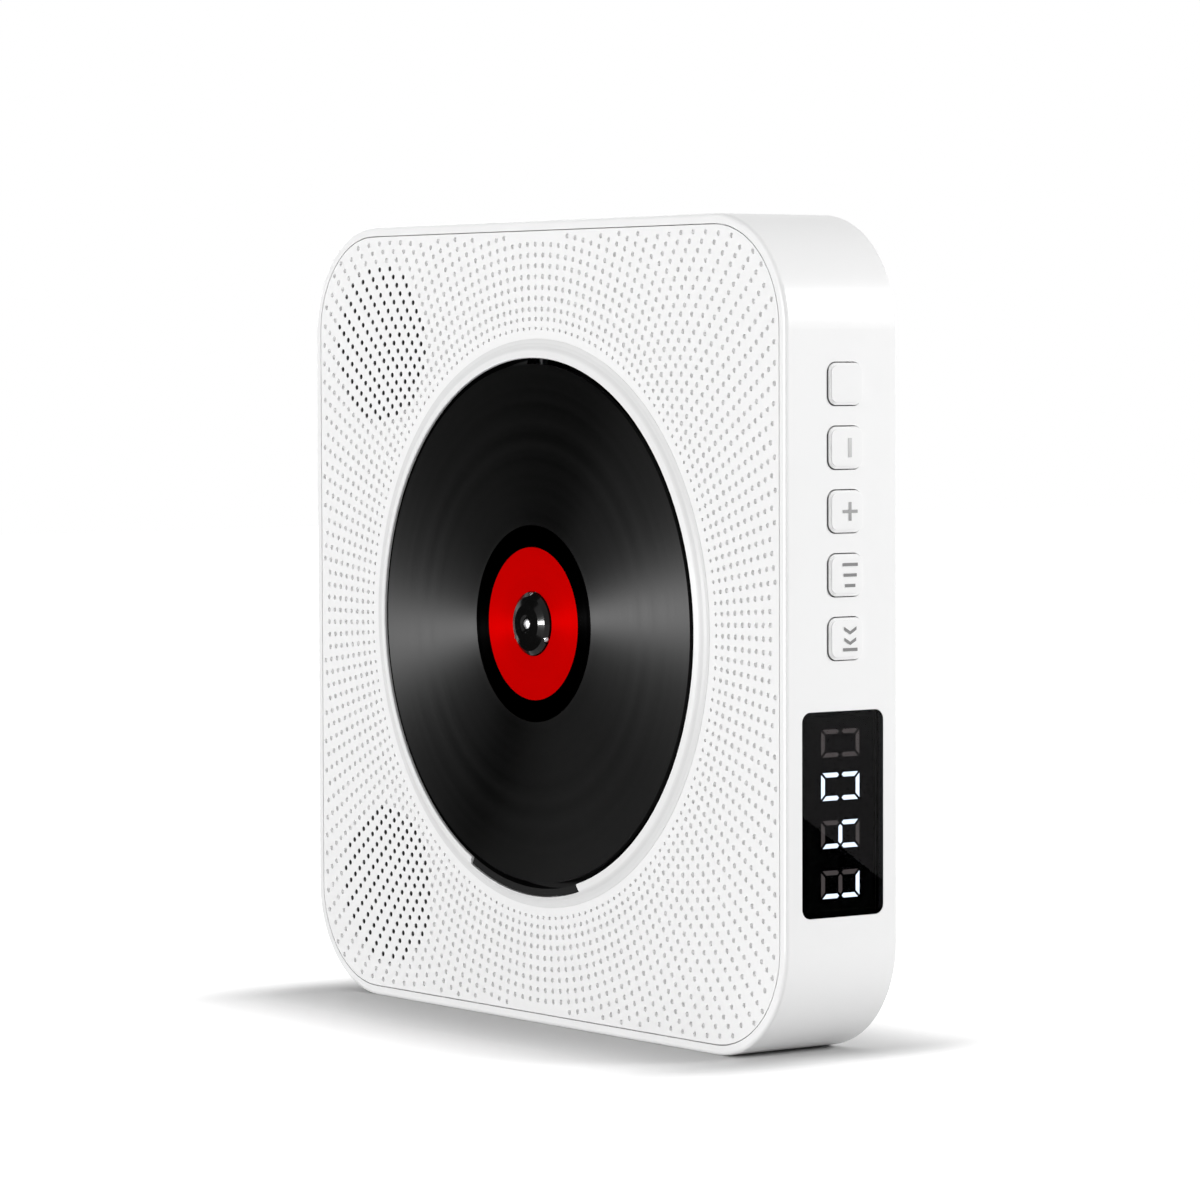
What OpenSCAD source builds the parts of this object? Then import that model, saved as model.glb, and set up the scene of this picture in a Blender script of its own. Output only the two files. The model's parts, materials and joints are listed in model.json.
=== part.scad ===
/* [Body] */
// Width of the body across the front
body_w = 186; // [180:1:230]
// Height of the body
body_h = 186; // [180:1:230]
// Depth from the front rim to the back of the cover
body_d = 31.4; // [30:0.2:42]
// Radius of the four corners seen from the front
corner_r = 25.5; // [24:0.5:32]
// Thickness of the moulded side wall
wall = 2.2; // [1.8:0.1:2.8]
// Rounding of the outer edges, front and back
edge_r = 0.9; // [0.5:0.1:1.0]
// Thickness of the back cover
cover_t = 2.2; // [1.8:0.1:3]
// Part of the back cover that shows at the side
cover_edge = 1.0; // [1.0:0.1:1.4]

/* [Front] */
// Thickness of the perforated front panel
panel_t = 1.6; // [1.2:0.1:2]
// Shadow groove between the rim and the front panel
groove = 0.5; // [0.3:0.1:0.8]
// Thickness of the baffle plate behind the front panel
baffle_t = 1.8; // [1.4:0.1:2.4]
// Width of the ring around the disc well
ring_w = 4.4; // [4:0.1:5]
// How far the ring's lip stands in front of the panel
lip_h = 1.3; // [1:0.1:1.6]
// Angle at which the finger notch starts, from straight down
notch_from = -24; // [-40:1:-10]
// Angle at which the finger notch ends, from straight down
notch_to = 16; // [10:1:40]

/* [Perforation] */
// Number of hole columns round the disc well
hole_columns = 90; // [60:6:96]
// Distance from one ring of holes to the next
hole_pitch = 4.97; // [4.5:0.01:6]
// Diameter of the holes
hole_d = 1.5; // [0.8:0.1:2]
// Plain margin between the holes and the panel's edge
hole_margin = 2.6; // [1.5:0.1:5]

/* [Disc] */
// Diameter of the disc
disc_d = 120; // [100:1:122]
// Thickness of the disc
disc_t = 1.2; // [1.1:0.1:1.5]
// Diameter of the disc's centre hole
disc_hole_d = 15; // [14:0.5:16]
// Diameter of the printed label
label_d = 35.4; // [30:0.2:44]
// How far the disc's face stands in front of the panel
disc_proud = 1.1; // [0.6:0.1:1.2]
// Free gap round the disc in its well
disc_gap = 1.4; // [1.2:0.1:2.5]
// Thickness of the disc tray's floor
tray_t = 1.2; // [1:0.1:1.6]
// Radial thickness of the disc tray's wall
tray_wall = 1.7; // [1.4:0.1:2]
// Diameter of the platter under the disc
platter_d = 32; // [28:1:34]
// Diameter of the clamping balls
ball_d = 2.0; // [1.6:0.1:2.2]
// Diameter of the spindle shaft
shaft_d = 2.0; // [1.5:0.1:2.5]

/* [Pickup] */
// Distance from the spindle to the lens at the innermost track
lens_start = 25; // [25:0.5:27]
// Plain band between the outermost track and the disc's edge
track_margin = 2; // [1:0.5:7]
// Diameter of the guide rods
rod_d = 3; // [2.5:0.1:3.4]
// Module of the rack and its pinion
rack_module = 0.6; // [0.6:0.05:0.6]
// Teeth on the small half of the sled gear
pinion_teeth = 14; // [14:1:14]
// Module of the sled gear's large half and the motor pinion
gear_module = 0.5; // [0.5:0.05:0.5]
// Teeth on the large half of the sled gear
gear_teeth = 32; // [28:1:32]
// Teeth on the motor pinion
motor_teeth = 12; // [12:1:14]

/* [Buttons and display] */
// Size of a button along the depth of the body
button_w = 9.2; // [8:0.1:10]
// Size of a button along the height of the body
button_h = 9.2; // [8:0.1:10]
// Distance from one button to the next
button_pitch = 13.9; // [12.5:0.1:15]
// Height of the middle button above the disc's axis
button_middle = 27.7; // [22.2:0.1:32.2]
// Travel of a button
button_travel = 0.8; // [0.5:0.1:1]
// How far a button stands out of the wall
button_proud = 0.7; // [0.5:0.1:1]
// Free gap round a button in its hole
button_gap = 0.25; // [0.15:0.05:0.4]
// Size of the display window along the depth of the body
window_w = 22.6; // [20:0.1:23.4]
// Size of the display window along the height of the body
window_h = 45; // [40:0.5:50]
// Height of the display window's centre below the disc's axis
window_drop = 38.5; // [36:0.5:42]
// Thickness of the window's face
window_face = 1.4; // [1:0.1:1.8]

/* [Sound] */
// Diameter of the speaker frame
speaker_d = 37.6; // [32:0.2:37.6]
// Distance from the side wall's outer face to the speaker's centre
speaker_side = 29; // [28:0.5:34]
// Distance from the top or bottom outer face to the speaker's centre
speaker_end = 27.5; // [27:0.5:32]

/* [Sockets] */
// Distance between the sockets on the left side
socket_pitch = 16; // [15:0.5:18]
// Diameter of the bore of the two sound sockets
jack_d = 3.6; // [3.5:0.1:3.8]
// Diameter of the bore of the power socket
power_bore_d = 5.6; // [5.5:0.1:6]
// Travel of the power switch each way
switch_travel = 1.5; // [1:0.1:2]

/* [Wall hanging] */
// Distance between the two keyhole slots
keyhole_pitch = 60; // [50:1:80]
// Diameter of the screw head that goes through a keyhole
keyhole_head_d = 9; // [8:0.5:10]
// Width of the keyhole's neck
keyhole_neck = 4.8; // [4.6:0.1:5.5]

/* [Hidden] */
$fn = 64;
// Gaps: parts that drop into a frame, parts that slide or turn, and gear teeth
fit_gap = 0.1;
run_gap = 0.05;
tooth_gap = 0.14;
plain_gap = 0.3;

// Stations along the depth, from the front plane to the back plane
y_front = -body_d / 2;
y_back = body_d / 2;
y_seam = y_back - cover_edge;
y_cover = y_back - cover_t;
y_panel_back = y_front + panel_t;
y_baffle_back = y_panel_back + baffle_t;
y_tray_back = y_baffle_back + tray_t;
y_crest = y_front - lip_h;
y_disc_face = y_front - disc_proud;
y_disc_under = y_disc_face + disc_t;

// Outlines seen from the front
inner_w = body_w - 2 * wall;
inner_h = body_h - 2 * wall;
inner_r = corner_r - wall;
ledge_w = 3;
ledge_t = 2;
// Height above and below the disc's axis where the side wall's lengths meet, on its straight stretches
wall_joint = body_h / 2 - corner_r - 1.5;
// Height of one more joint in the left wall, midway between the upper sound socket and the power socket
left_joint = -socket_pitch / 2;

// Disc well
disc_r = disc_d / 2;
well_r = disc_r + disc_gap;
tray_r = well_r + tray_wall;
ring_r = well_r + ring_w;
tray_flange = 5;
lip_t = 0.8;
y_lip_foot = y_crest + lip_t;
y_tray_rim = y_lip_foot + run_gap;
ring_foot_r = tray_r + fit_gap;
ring_join = 0.35;
cove_edge = 0.9;
notch_clear = 0.1;
platter_hole_r = platter_d / 2 + 1;

// Turntable
hub_r = disc_hole_d / 2 - 0.2;
hub_nose = 2.1;
pad_t = 0.4;
pad_w = 4.5;
pad_inner_r = platter_d / 2 - pad_w - 0.6;
platter_t = 1.2;
y_platter = y_disc_under + pad_t - 0.1;
stem_r = 3;
y_stem_end = y_front + 7;
ball_r = ball_d / 2;
ball_x = disc_hole_d / 2 - run_gap - ball_r;
ball_angles = [90, 210, 330];
label_sink = 0.1;
stack_ring_r = 17.5;

// Disc mechanism
y_chassis = y_front + 8;
chassis_t = 1.2;
y_chassis_back = y_chassis + chassis_t;
// Dampers: the upper two follow the edge of the tray that their posts stand on
damper_x = 34;
damper_inset = 18.1;
damper_z = [-14, tray_r + tray_flange - damper_inset];
damper_r = 4.5;
damper_waist = 3.2;
damper_t = 1.6;
damper_bore_r = 1.6;
damper_post_r = 3;
damper_screw_r = 1.4;
damper_head_t = 1.2;
y_damper = y_chassis - damper_t;
chassis_half = damper_x + 5;
chassis_low = damper_z[0] - 6;
chassis_high = damper_z[1] + 6;
motor_r = 12;
motor_t = 6;
motor_boss_r = 3.4;
rod_r = rod_d / 2;
rod_x = 14;
rod_y = y_front + 11.7;
lug_t = 3;
lug_low = 10;
sled_half = 9;
sled_travel = disc_r - track_margin - lens_start;
lug_high = lens_start + sled_travel + sled_half + 4;
turret_r = 6;
lens_ring_r = 3;
lens_stem_r = 1.65;
y_turret = y_baffle_back + plain_gap;
// Slot in the tray for the turret, ending past it at the outermost track
slot_w = 19;
slot_clear = 1;
slot_end = lens_start + sled_travel + turret_r + slot_clear;
sled_front_half = 12;
sled_rear_half = 17.5;
y_sled = y_front + 5.2;
y_sled_back = y_front + 14;
rack_t = 1.4;
rack_x = 16.8;
gear_x = rack_x + rack_module * pinion_teeth / 2;
gear_z = damper_z[1] - 12;
mesh_angle = -20;
mesh_distance = gear_module * (gear_teeth + motor_teeth) / 2;
motor_x = gear_x + mesh_distance * cos(mesh_angle);
motor_z = gear_z + mesh_distance * sin(mesh_angle);
gear_t = 0.9;
y_gear = y_sled + rack_t + 0.2;
post_r = 1.2;
sled_motor_t = 9;
motor_nose_r = 2.5;
pinion_shaft_r = 0.75;

// Buttons, display and their boards
x_wall = body_w / 2;
x_inner = x_wall - wall;
y_keys = y_front + 16.25;
y_window = y_front + 15.8;
key_flange = 1.2;
key_flange_t = 1.1;
x_key_board = x_inner - 6.2;
board_t = 1.2;
window_flange = 1.6;
window_lip = 0.8;
key_corner_r = 2;
window_corner_r = 2.2;
window_rim = 1.2;
// Marks raised on the buttons, set a little back on the flat of each face
mark_back = 1;
mark_line = 0.7;
key_stem = 1.6;
switch_t = 1.6;
button_top = button_middle + 2 * button_pitch;
// Height span of the key board, from the lowest button to the top one
key_low = button_top - 4 * button_pitch - 7;
key_high = button_top + 7;

// Display inside the window's rim: its half sizes, and the numerals' sizes as they are read
display_half_w = window_w / 2 - window_rim - plain_gap;
display_half_h = window_h / 2 - window_rim - plain_gap;
x_display = x_wall - window_face - plain_gap;
display_t = 4.2;
digit_pitch = 10.3;
digit_tall = 10.2;
digit_wide = 6.2;
digit_bar = 0.9;
digit_space = 0.3;

// Speakers
speaker_x = -(body_w / 2 - speaker_side);
speaker_z = body_h / 2 - speaker_end;
speaker_r = speaker_d / 2;
cone_r = speaker_r - 1.6;

// Sockets
y_sockets = y_front + 15.7;
socket_board_t = 1.6;
jack_depth = 11.5;
jack_nose_r = 3;
power_depth = 9;
power_nose_r = 4;
usb_half_t = 3.1;
usb_half_w = 6.8;
usb_depth = 16;
knob_half_t = 1.4;
knob_half_w = 2.9;
y_socket_board = y_sockets + 4.5;
x_left = -body_w / 2;
socket_post_x = x_left + wall + 16.5;
socket_posts = [-1.5 * socket_pitch, 1.65 * socket_pitch];

// Case screws, hooks and the main board
screw_x = 34;
screw_z = body_h / 2 - 8.5;
screw_r = 1.5;
boss_r = 3.4;
keyhole_z = 54;
keyhole_drop = 9;
screw_hole_depth = 12;
screw_length = 10;
post_foot_r = 2.5;
board_inset = 4;
main_board_w = 84;
main_board_h = 44;
main_board_x = 6;
main_board_z = 24;
y_main_board = y_cover - 5.6;
// Chips and capacitors: [across, height, width, depth of the outline, thickness]
chips = [[-22, 6, 12, 12, 1.4], [4, -6, 9, 9, 1.2], [24, 8, 14, 7, 1.2], [26, -10, 6, 6, 2]];
battery_x = 20;
battery_z = -46;
battery_w = 62;
battery_h = 38;
battery_t = 8;

// ---- Shared shapes -------------------------------------------------------

// The part stands on its bottom face, so everything is raised by half the body's height
module standing() translate([0, 0, body_h / 2]) children();

// A flat plate whose outline is drawn as seen from the front, from depth y
module plate(y, t) translate([0, y + t, 0]) rotate([90, 0, 0]) linear_extrude(t) children();

// A solid turned about an axis that runs from front to back, drawn as [radius, depth]
module turned() rotate([-90, 0, 0]) rotate_extrude() children();

// A round bar or hole that runs from depth y to depth y + t
module bar_y(r, y, t) translate([0, y + t, 0]) rotate([90, 0, 0]) cylinder(r = r, h = t);

// A bar along the width, starting at x
module bar_x(r, x, t) translate([x, 0, 0]) rotate([0, 90, 0]) cylinder(r = r, h = t);

// A board or block given by its corners
module block(low, high) translate(low) cube(high - low);

// A rectangle with true round corners
module rounded(w, h, r) {
  square([w, h - 2 * r], center = true);
  square([w - 2 * r, h], center = true);
  for (x = [-1, 1], z = [-1, 1]) translate([x * (w / 2 - r), z * (h / 2 - r)]) circle(r);
}

// A plate standing on the side wall, drawn as [depth, height] and going t towards +X
module side_plate(x, t) translate([x, 0, 0]) rotate([90, 0, 90]) linear_extrude(t) children();

// A section carried once round a rounded rectangle: x is the distance from the corner's centre
module edge_sweep(w, h, r) {
  for (k = [0:3])
    let (across = k % 2 == 0 ? w : h, along = k % 2 == 0 ? h : w)
      rotate([0, 90 * k, 0]) translate([across / 2 - r, 0, 0]) {
        linear_extrude(along - 2 * r, center = true) children();
        translate([0, 0, r - along / 2]) rotate([-90, 0, 0]) rotate_extrude(angle = 90) children();
      }
}

// A ring section turned through part of a circle about the disc's axis, angles from straight down
module ring_part(from, to) rotate([-90, 90 - to, 0]) rotate_extrude(angle = to - from) children();

// ---- Gears ---------------------------------------------------------------

function involute(a) = tan(a) * 180 / PI - a;

// Half the angle that a tooth fills at radius r, for pitch radius p and tooth gap g
function half_tooth(r, p, m, g) =
  let (a = acos(min(1, p * cos(20) / r)))
    (PI * m / 2 - g) / (2 * p) * 180 / PI + involute(20) - involute(a);

// Outline of a spur gear with involute flanks, its first tooth on the +X axis
module gear_outline(teeth, m) {
  p = m * teeth / 2;
  root = p - 1.2 * m;
  base = max(p * cos(20), root);
  tip = p + 0.95 * m;
  radii = [root, for (s = [0:3]) base + (tip - base) * s / 3];
  polygon([
    for (i = [0:teeth - 1], side = [-1, 1], s = [0:4])
      let (
        r = radii[side < 0 ? s : 4 - s],
        a = 360 * i / teeth + side * half_tooth(max(r, base), p, m, tooth_gap)
      )
        [r * cos(a), r * sin(a)]
  ]);
}

// Outline of a rack with teeth towards +X, from height low to height high, a gap at height mid
module rack_outline(back, pitch_x, m, low, high, mid) {
  step = PI * m;
  first = ceil((low - mid) / step);
  last = floor((high - mid) / step) - 1;
  half = (PI * m / 2 - tooth_gap) / 2;
  slope = tan(20);
  polygon([
    [back, low],
    for (k = [first:last], c = [[-1, -1.2], [-1, 0.95], [1, 0.95], [1, -1.2]])
      [pitch_x + c[1] * m, mid + (k + 0.5) * step + c[0] * (half - c[1] * m * slope)],
    [back, high]
  ]);
}

// ---- Case ----------------------------------------------------------------

// Section of the side wall with its rounded front edge
module wall_section() {
  difference() {
    translate([corner_r - wall, y_front]) square([wall, y_seam - y_front]);
    translate([corner_r - edge_r, y_front]) square(edge_r);
  }
  translate([corner_r - edge_r, y_front + edge_r]) circle(edge_r);
}

// The side wall all round, with its ledge, bosses and openings
module side_wall() difference() {
  union() {
    edge_sweep(body_w, body_h, corner_r) wall_section();
    edge_sweep(body_w, body_h, corner_r)
      translate([corner_r - wall - ledge_w, y_baffle_back]) square([ledge_w, ledge_t]);
    for (x = [-1, 1], z = [-1, 1]) {
      translate([x * screw_x, 0, z * screw_z]) bar_y(boss_r, y_baffle_back, y_cover - y_baffle_back);
      translate([x * screw_x, 0, z * (screw_z + inner_h / 2) / 2])
        block([-1, y_baffle_back, -(inner_h / 2 - screw_z) / 2], [1, y_cover, (inner_h / 2 - screw_z) / 2]);
    }
  }
  for (x = [-1, 1], z = [-1, 1])
    translate([x * screw_x, 0, z * screw_z])
      bar_y(screw_r, y_cover - screw_hole_depth, screw_hole_depth + cover_t);
  for (i = [0:4]) translate([0, y_keys, button_top - i * button_pitch])
    side_plate(x_inner - 1, wall + 2)
      rounded(button_w + 2 * button_gap, button_h + 2 * button_gap, key_corner_r + button_gap);
  translate([0, y_window, -window_drop]) {
    side_plate(x_inner - 1, wall + 2)
      rounded(window_w + 2 * fit_gap, window_h + 2 * fit_gap, window_corner_r + fit_gap);
    block([x_inner - ledge_w - 1, -window_w / 2 - plain_gap, -window_h / 2 - window_flange - plain_gap],
      [x_inner, y_baffle_back + ledge_t - y_window + 1, window_h / 2 + window_flange + plain_gap]);
  }
  socket_holes();
}

// The side wall is made in five lengths that meet face to face
module wall_length(low, high) color("white") standing() intersection() {
  side_wall();
  block(low, high);
}
module housing_top() wall_length([-body_w, y_front, wall_joint], [body_w, y_back, body_h]);
module housing_bottom() wall_length([-body_w, y_front, -body_h], [body_w, y_back, -wall_joint]);
module housing_left_upper() wall_length([-body_w, y_front, left_joint], [0, y_back, wall_joint]);
module housing_left_lower() wall_length([-body_w, y_front, -wall_joint], [0, y_back, left_joint]);
module housing_right() wall_length([0, y_front, -wall_joint], [body_w, y_back, wall_joint]);

// Openings in the left wall: switch slot, serial socket, power socket and two sound sockets
module socket_holes() {
  translate([x_left - 1, y_sockets, 0]) {
    translate([0, 0, 2 * socket_pitch])
      block([0, -knob_half_t - 2 * fit_gap, -knob_half_w - fit_gap - switch_travel],
        [wall + 2, knob_half_t + 2 * fit_gap, knob_half_w + fit_gap + switch_travel]);
    translate([0, 0, socket_pitch])
      block([0, -usb_half_t - plain_gap, -usb_half_w - plain_gap],
        [wall + 2, usb_half_t + plain_gap, usb_half_w + plain_gap]);
    bar_x(power_nose_r + fit_gap, 0, wall + 2);
    for (i = [-1, -2]) translate([0, 0, i * socket_pitch]) bar_x(jack_nose_r + fit_gap, 0, wall + 2);
  }
}

// Holes of the front panel: rings about the disc's axis, each column on its own radius
module perforation(w, h, r) {
  rings = ceil(norm([w, h]) / 2 / hole_pitch);
  first = ring_r + 2.2;
  cx = w / 2 - r;
  cz = h / 2 - r;
  for (i = [0:rings], j = [0:hole_columns - 1])
    let (
      q = first + i * hole_pitch, a = 90 + 360 * j / hole_columns, x = q * cos(a), z = q * sin(a),
      past = norm([max(0, abs(x) - cx), max(0, abs(z) - cz)])
    )
      if (past < r) translate([x, z]) circle(d = hole_d);
}

module front_grille() color("white") standing() plate(y_front, panel_t) difference() {
  edge = wall + groove;
  rounded(body_w - 2 * edge, body_h - 2 * edge, corner_r - edge);
  plain = edge + hole_margin;
  circle(ring_r + fit_gap);
  perforation(body_w - 2 * plain, body_h - 2 * plain, corner_r - plain);
}

module front_baffle() color("gainsboro") standing() plate(y_panel_back, baffle_t) difference() {
  rounded(inner_w - 2 * fit_gap, inner_h - 2 * fit_gap, inner_r - fit_gap);
  circle(tray_r + fit_gap);
  for (z = [-1, 1]) translate([speaker_x, z * speaker_z]) circle(cone_r + 0.3);
}

// Section of the well ring: a foot on the baffle, a hollow cove and the raised lip
module ring_section() polygon([
  [ring_foot_r, y_panel_back], [ring_r, y_panel_back], [ring_r, y_front - 0.05],
  [ring_r - cove_edge, y_front - 0.1], [ring_foot_r + cove_edge, y_front - 0.35],
  [ring_foot_r, y_lip_foot - ring_join], [tray_r - 0.1, y_crest + 0.35], [well_r + 0.45, y_crest],
  [well_r + 0.15, y_crest + 0.05], [well_r, y_crest + 0.25], [well_r, y_lip_foot], [ring_foot_r, y_lip_foot]
]);

module well_ring() color("white") standing() difference() {
  turned() ring_section();
  ring_part(notch_from, notch_to) translate([well_r - 1, y_crest - 1])
    square([ring_foot_r + notch_clear - well_r + 1, y_panel_back - y_crest + 2]);
}

module disc_tray() color([0.06, 0.06, 0.07]) standing() {
  difference() {
    union() {
      turned() translate([well_r, y_tray_rim]) square([tray_wall, y_baffle_back - y_tray_rim]);
      turned() translate([0, y_baffle_back]) square([tray_r + tray_flange, tray_t]);
      for (x = [-1, 1], z = damper_z)
        translate([x * damper_x, 0, z])
          bar_y(damper_post_r, y_tray_back - 0.2, y_damper - y_tray_back + 0.2);
    }
    plate(y_baffle_back - 1, tray_t + 2) {
      circle(platter_hole_r);
      translate([-slot_w / 2, 0]) square([slot_w, slot_end - slot_w / 2]);
      translate([0, slot_end - slot_w / 2]) circle(slot_w / 2);
    }
    for (x = [-1, 1], z = damper_z)
      translate([x * damper_x, 0, z]) bar_y(damper_screw_r, y_tray_back, y_damper - y_tray_back + 1);
  }
}

// Keyhole: the round hole takes the screw head and the neck above it holds the screw
module keyhole() {
  circle(d = keyhole_head_d);
  translate([-keyhole_neck / 2, 0]) square([keyhole_neck, keyhole_drop]);
  translate([0, keyhole_drop]) circle(d = keyhole_neck);
}

// Section of the cover's edge, with its rounded back edge
module cover_section() {
  difference() {
    translate([corner_r - 8, y_seam]) square([8, cover_edge]);
    translate([corner_r - edge_r, y_back - edge_r]) square(edge_r);
  }
  intersection() {
    translate([corner_r - edge_r, y_back - edge_r]) circle(edge_r);
    translate([0, y_seam]) square([corner_r + 1, cover_edge]);
  }
}

module back_cover() color("white") standing() difference() {
  union() {
    edge_sweep(body_w, body_h, corner_r) cover_section();
    plate(y_seam, cover_edge) rounded(body_w - 10, body_h - 10, corner_r - 5);
    plate(y_cover, cover_t - cover_edge)
      rounded(inner_w - 2 * fit_gap, inner_h - 2 * fit_gap, inner_r - fit_gap);
    translate([main_board_x, 0, main_board_z]) for (x = [-1, 1], z = [-1, 1])
      translate([x * (main_board_w / 2 - board_inset), 0, z * (main_board_h / 2 - board_inset)])
        bar_y(post_foot_r, y_main_board + board_t, y_cover - y_main_board - board_t + 0.2);
    for (z = socket_posts) translate([socket_post_x, 0, z])
      bar_y(post_foot_r, y_socket_board + socket_board_t, y_cover - y_socket_board - socket_board_t + 0.2);
  }
  for (x = [-1, 1], z = [-1, 1]) translate([x * screw_x, 0, z * screw_z]) {
    bar_y(screw_r + 0.1, y_cover - 1, cover_t + 2);
    bar_y(2 * screw_r + 0.1, y_back - 1.1, 2);
  }
  plate(y_cover - 1, cover_t + 2) for (x = [-1, 1]) translate([x * keyhole_pitch / 2, keyhole_z]) keyhole();
}

// A screw driven from the back: the head's back face is at depth y
module screw(y, length, r, head_r, head_t) difference() {
  turned() polygon([
    [0, y], [head_r, y], [head_r, y - head_t], [r, y - head_t],
    [r, y - length + r], [0.3, y - length], [0, y - length]
  ]);
  for (a = [0, 90]) rotate([0, a, 0])
    block([-head_r * 0.55, y - head_t * 0.6, -0.25], [head_r * 0.55, y + 1, 0.25]);
}

module case_screws() color("silver") standing() for (x = [-1, 1], z = [-1, 1])
  translate([x * screw_x, 0, z * screw_z]) screw(y_back - 0.1, screw_length, screw_r, 2 * screw_r, 1);

// ---- Disc drive ----------------------------------------------------------

module mech_chassis() color("lightsteelblue") standing() difference() {
  union() {
    plate(y_chassis, chassis_t) {
      translate([-chassis_half, chassis_low]) square([2 * chassis_half, chassis_high - chassis_low]);
      translate([-sled_rear_half - 1.5, chassis_low])
        square([2 * sled_rear_half + 3, lug_high + lug_t - chassis_low]);
    }
    for (x = [-rod_x, rod_x], z = [lug_low, lug_high])
      block([x - 3, y_chassis_back - 0.2, z], [x + 3, rod_y + 2.6, z + lug_t]);
    translate([gear_x, 0, gear_z]) bar_y(post_r, y_sled - 0.1, y_chassis - y_sled + 0.3);
  }
  plate(y_chassis - 1, chassis_t + 2) {
    circle(motor_boss_r + fit_gap);
    translate([-sled_front_half - 1, lug_low + lug_t])
      square([2 * sled_front_half + 2, lug_high - lug_low - lug_t]);
    for (x = [-1, 1], z = damper_z) translate([x * damper_x, z]) circle(damper_waist);
    translate([motor_x, motor_z]) circle(motor_nose_r + fit_gap);
  }
  for (x = [-rod_x, rod_x]) translate([x, rod_y, lug_low - 1])
    cylinder(r = rod_r, h = lug_high - lug_low + lug_t + 2);
}

// A rubber bush with a waist that the chassis clips into
module damper() turned() polygon([
  [damper_bore_r, y_damper], [damper_r - 0.4, y_damper], [damper_r, y_damper + 0.4], [damper_r, y_chassis],
  [damper_waist, y_chassis], [damper_waist, y_chassis_back], [damper_r, y_chassis_back],
  [damper_r, y_chassis_back + damper_t - 0.4], [damper_r - 0.4, y_chassis_back + damper_t],
  [damper_bore_r, y_chassis_back + damper_t]
]);

module mech_dampers() color("dimgray") standing() for (x = [-1, 1], z = damper_z)
  translate([x * damper_x, 0, z]) damper();

module mech_screws() color("silver") standing() for (x = [-1, 1], z = damper_z)
  translate([x * damper_x, 0, z])
    screw(y_chassis_back + damper_t + damper_head_t, 7.4, damper_screw_r, 2 * damper_screw_r, damper_head_t);

// A flat motor: stepped can, front boss and a bore for its shaft
module spindle_motor() color("silver") standing() difference() {
  turned() polygon([
    [0, y_chassis - 0.6], [motor_boss_r - 0.6, y_chassis - 0.6], [motor_boss_r, y_chassis],
    [motor_boss_r, y_chassis_back], [motor_r, y_chassis_back], [motor_r, y_chassis_back + motor_t - 1],
    [motor_r - 1, y_chassis_back + motor_t], [4, y_chassis_back + motor_t],
    [4, y_chassis_back + motor_t + 0.8], [0, y_chassis_back + motor_t + 0.8]
  ]);
  bar_y(shaft_d / 2 + run_gap, y_front, body_d);
}

module guide_rods() color("silver") standing() for (x = [-rod_x, rod_x])
  translate([x, rod_y, lug_low + 0.3]) cylinder(r = rod_r, h = lug_high - lug_low + lug_t - 0.6);

module sled_motor() color("silver") standing() translate([motor_x, 0, motor_z]) difference() {
  union() {
    bar_y(6.5, y_chassis_back, sled_motor_t);
    bar_y(motor_nose_r, y_chassis, chassis_t + 0.1);
  }
  bar_y(pinion_shaft_r + run_gap, y_front, body_d);
}

module pickup_sled() color([0.15, 0.15, 0.17]) standing() translate([0, 0, lens_start]) difference() {
  union() {
    block([-sled_front_half, y_sled, -sled_half], [sled_front_half, y_chassis_back + 0.6, sled_half]);
    block([-sled_rear_half, y_chassis_back + 0.4, -sled_half], [sled_rear_half, y_sled_back, sled_half]);
    bar_y(turret_r, y_turret, y_sled - y_turret + 0.2);
  }
  bar_y(lens_stem_r + run_gap, y_front, 6.5);
  translate([rod_x, rod_y, -sled_half - 1]) cylinder(r = rod_r + run_gap, h = 2 * sled_half + 2);
  translate([-rod_x, rod_y, -sled_half - 1]) cylinder(r = rod_r + run_gap, h = 2 * sled_half + 2);
  block([-6, y_chassis_back + 3.4, -6], [6, y_sled_back + 1, 6]);
}

module pickup_rack() color("ivory") standing() plate(y_sled, rack_t)
  rack_outline(sled_front_half, rack_x, rack_module, gear_z - sled_travel - 4, gear_z + 4, gear_z);

// The lens in its ring, on a stem that moves in the sled to hold focus
module pickup_lens() color([0.25, 0.3, 0.5]) standing() translate([0, 0, lens_start]) turned() polygon([
  [0, y_front + 1.75], [1.2, y_front + 1.6], [2.2, y_front + 1.85], [2.2, y_front + 1.6],
  [lens_ring_r, y_front + 1.6], [lens_ring_r, y_front + 2.6], [lens_stem_r, y_front + 2.6],
  [lens_stem_r, y_front + 5.6], [0, y_front + 5.6]
]);

module sled_gear() color("ivory") standing() translate([gear_x, 0, gear_z]) difference() {
  union() {
    plate(y_sled, rack_t + 0.25) rotate(180) gear_outline(pinion_teeth, rack_module);
    plate(y_gear, gear_t) rotate(mesh_angle) gear_outline(gear_teeth, gear_module);
  }
  bar_y(post_r + run_gap, y_front, body_d);
}

module motor_pinion() color("goldenrod") standing() translate([motor_x, 0, motor_z]) {
  plate(y_gear, gear_t + 0.1) rotate(mesh_angle + 180 + 180 / motor_teeth)
    gear_outline(motor_teeth, gear_module);
  bar_y(pinion_shaft_r, y_gear, y_chassis_back + sled_motor_t - y_gear);
}

// ---- Turntable and disc --------------------------------------------------

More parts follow.
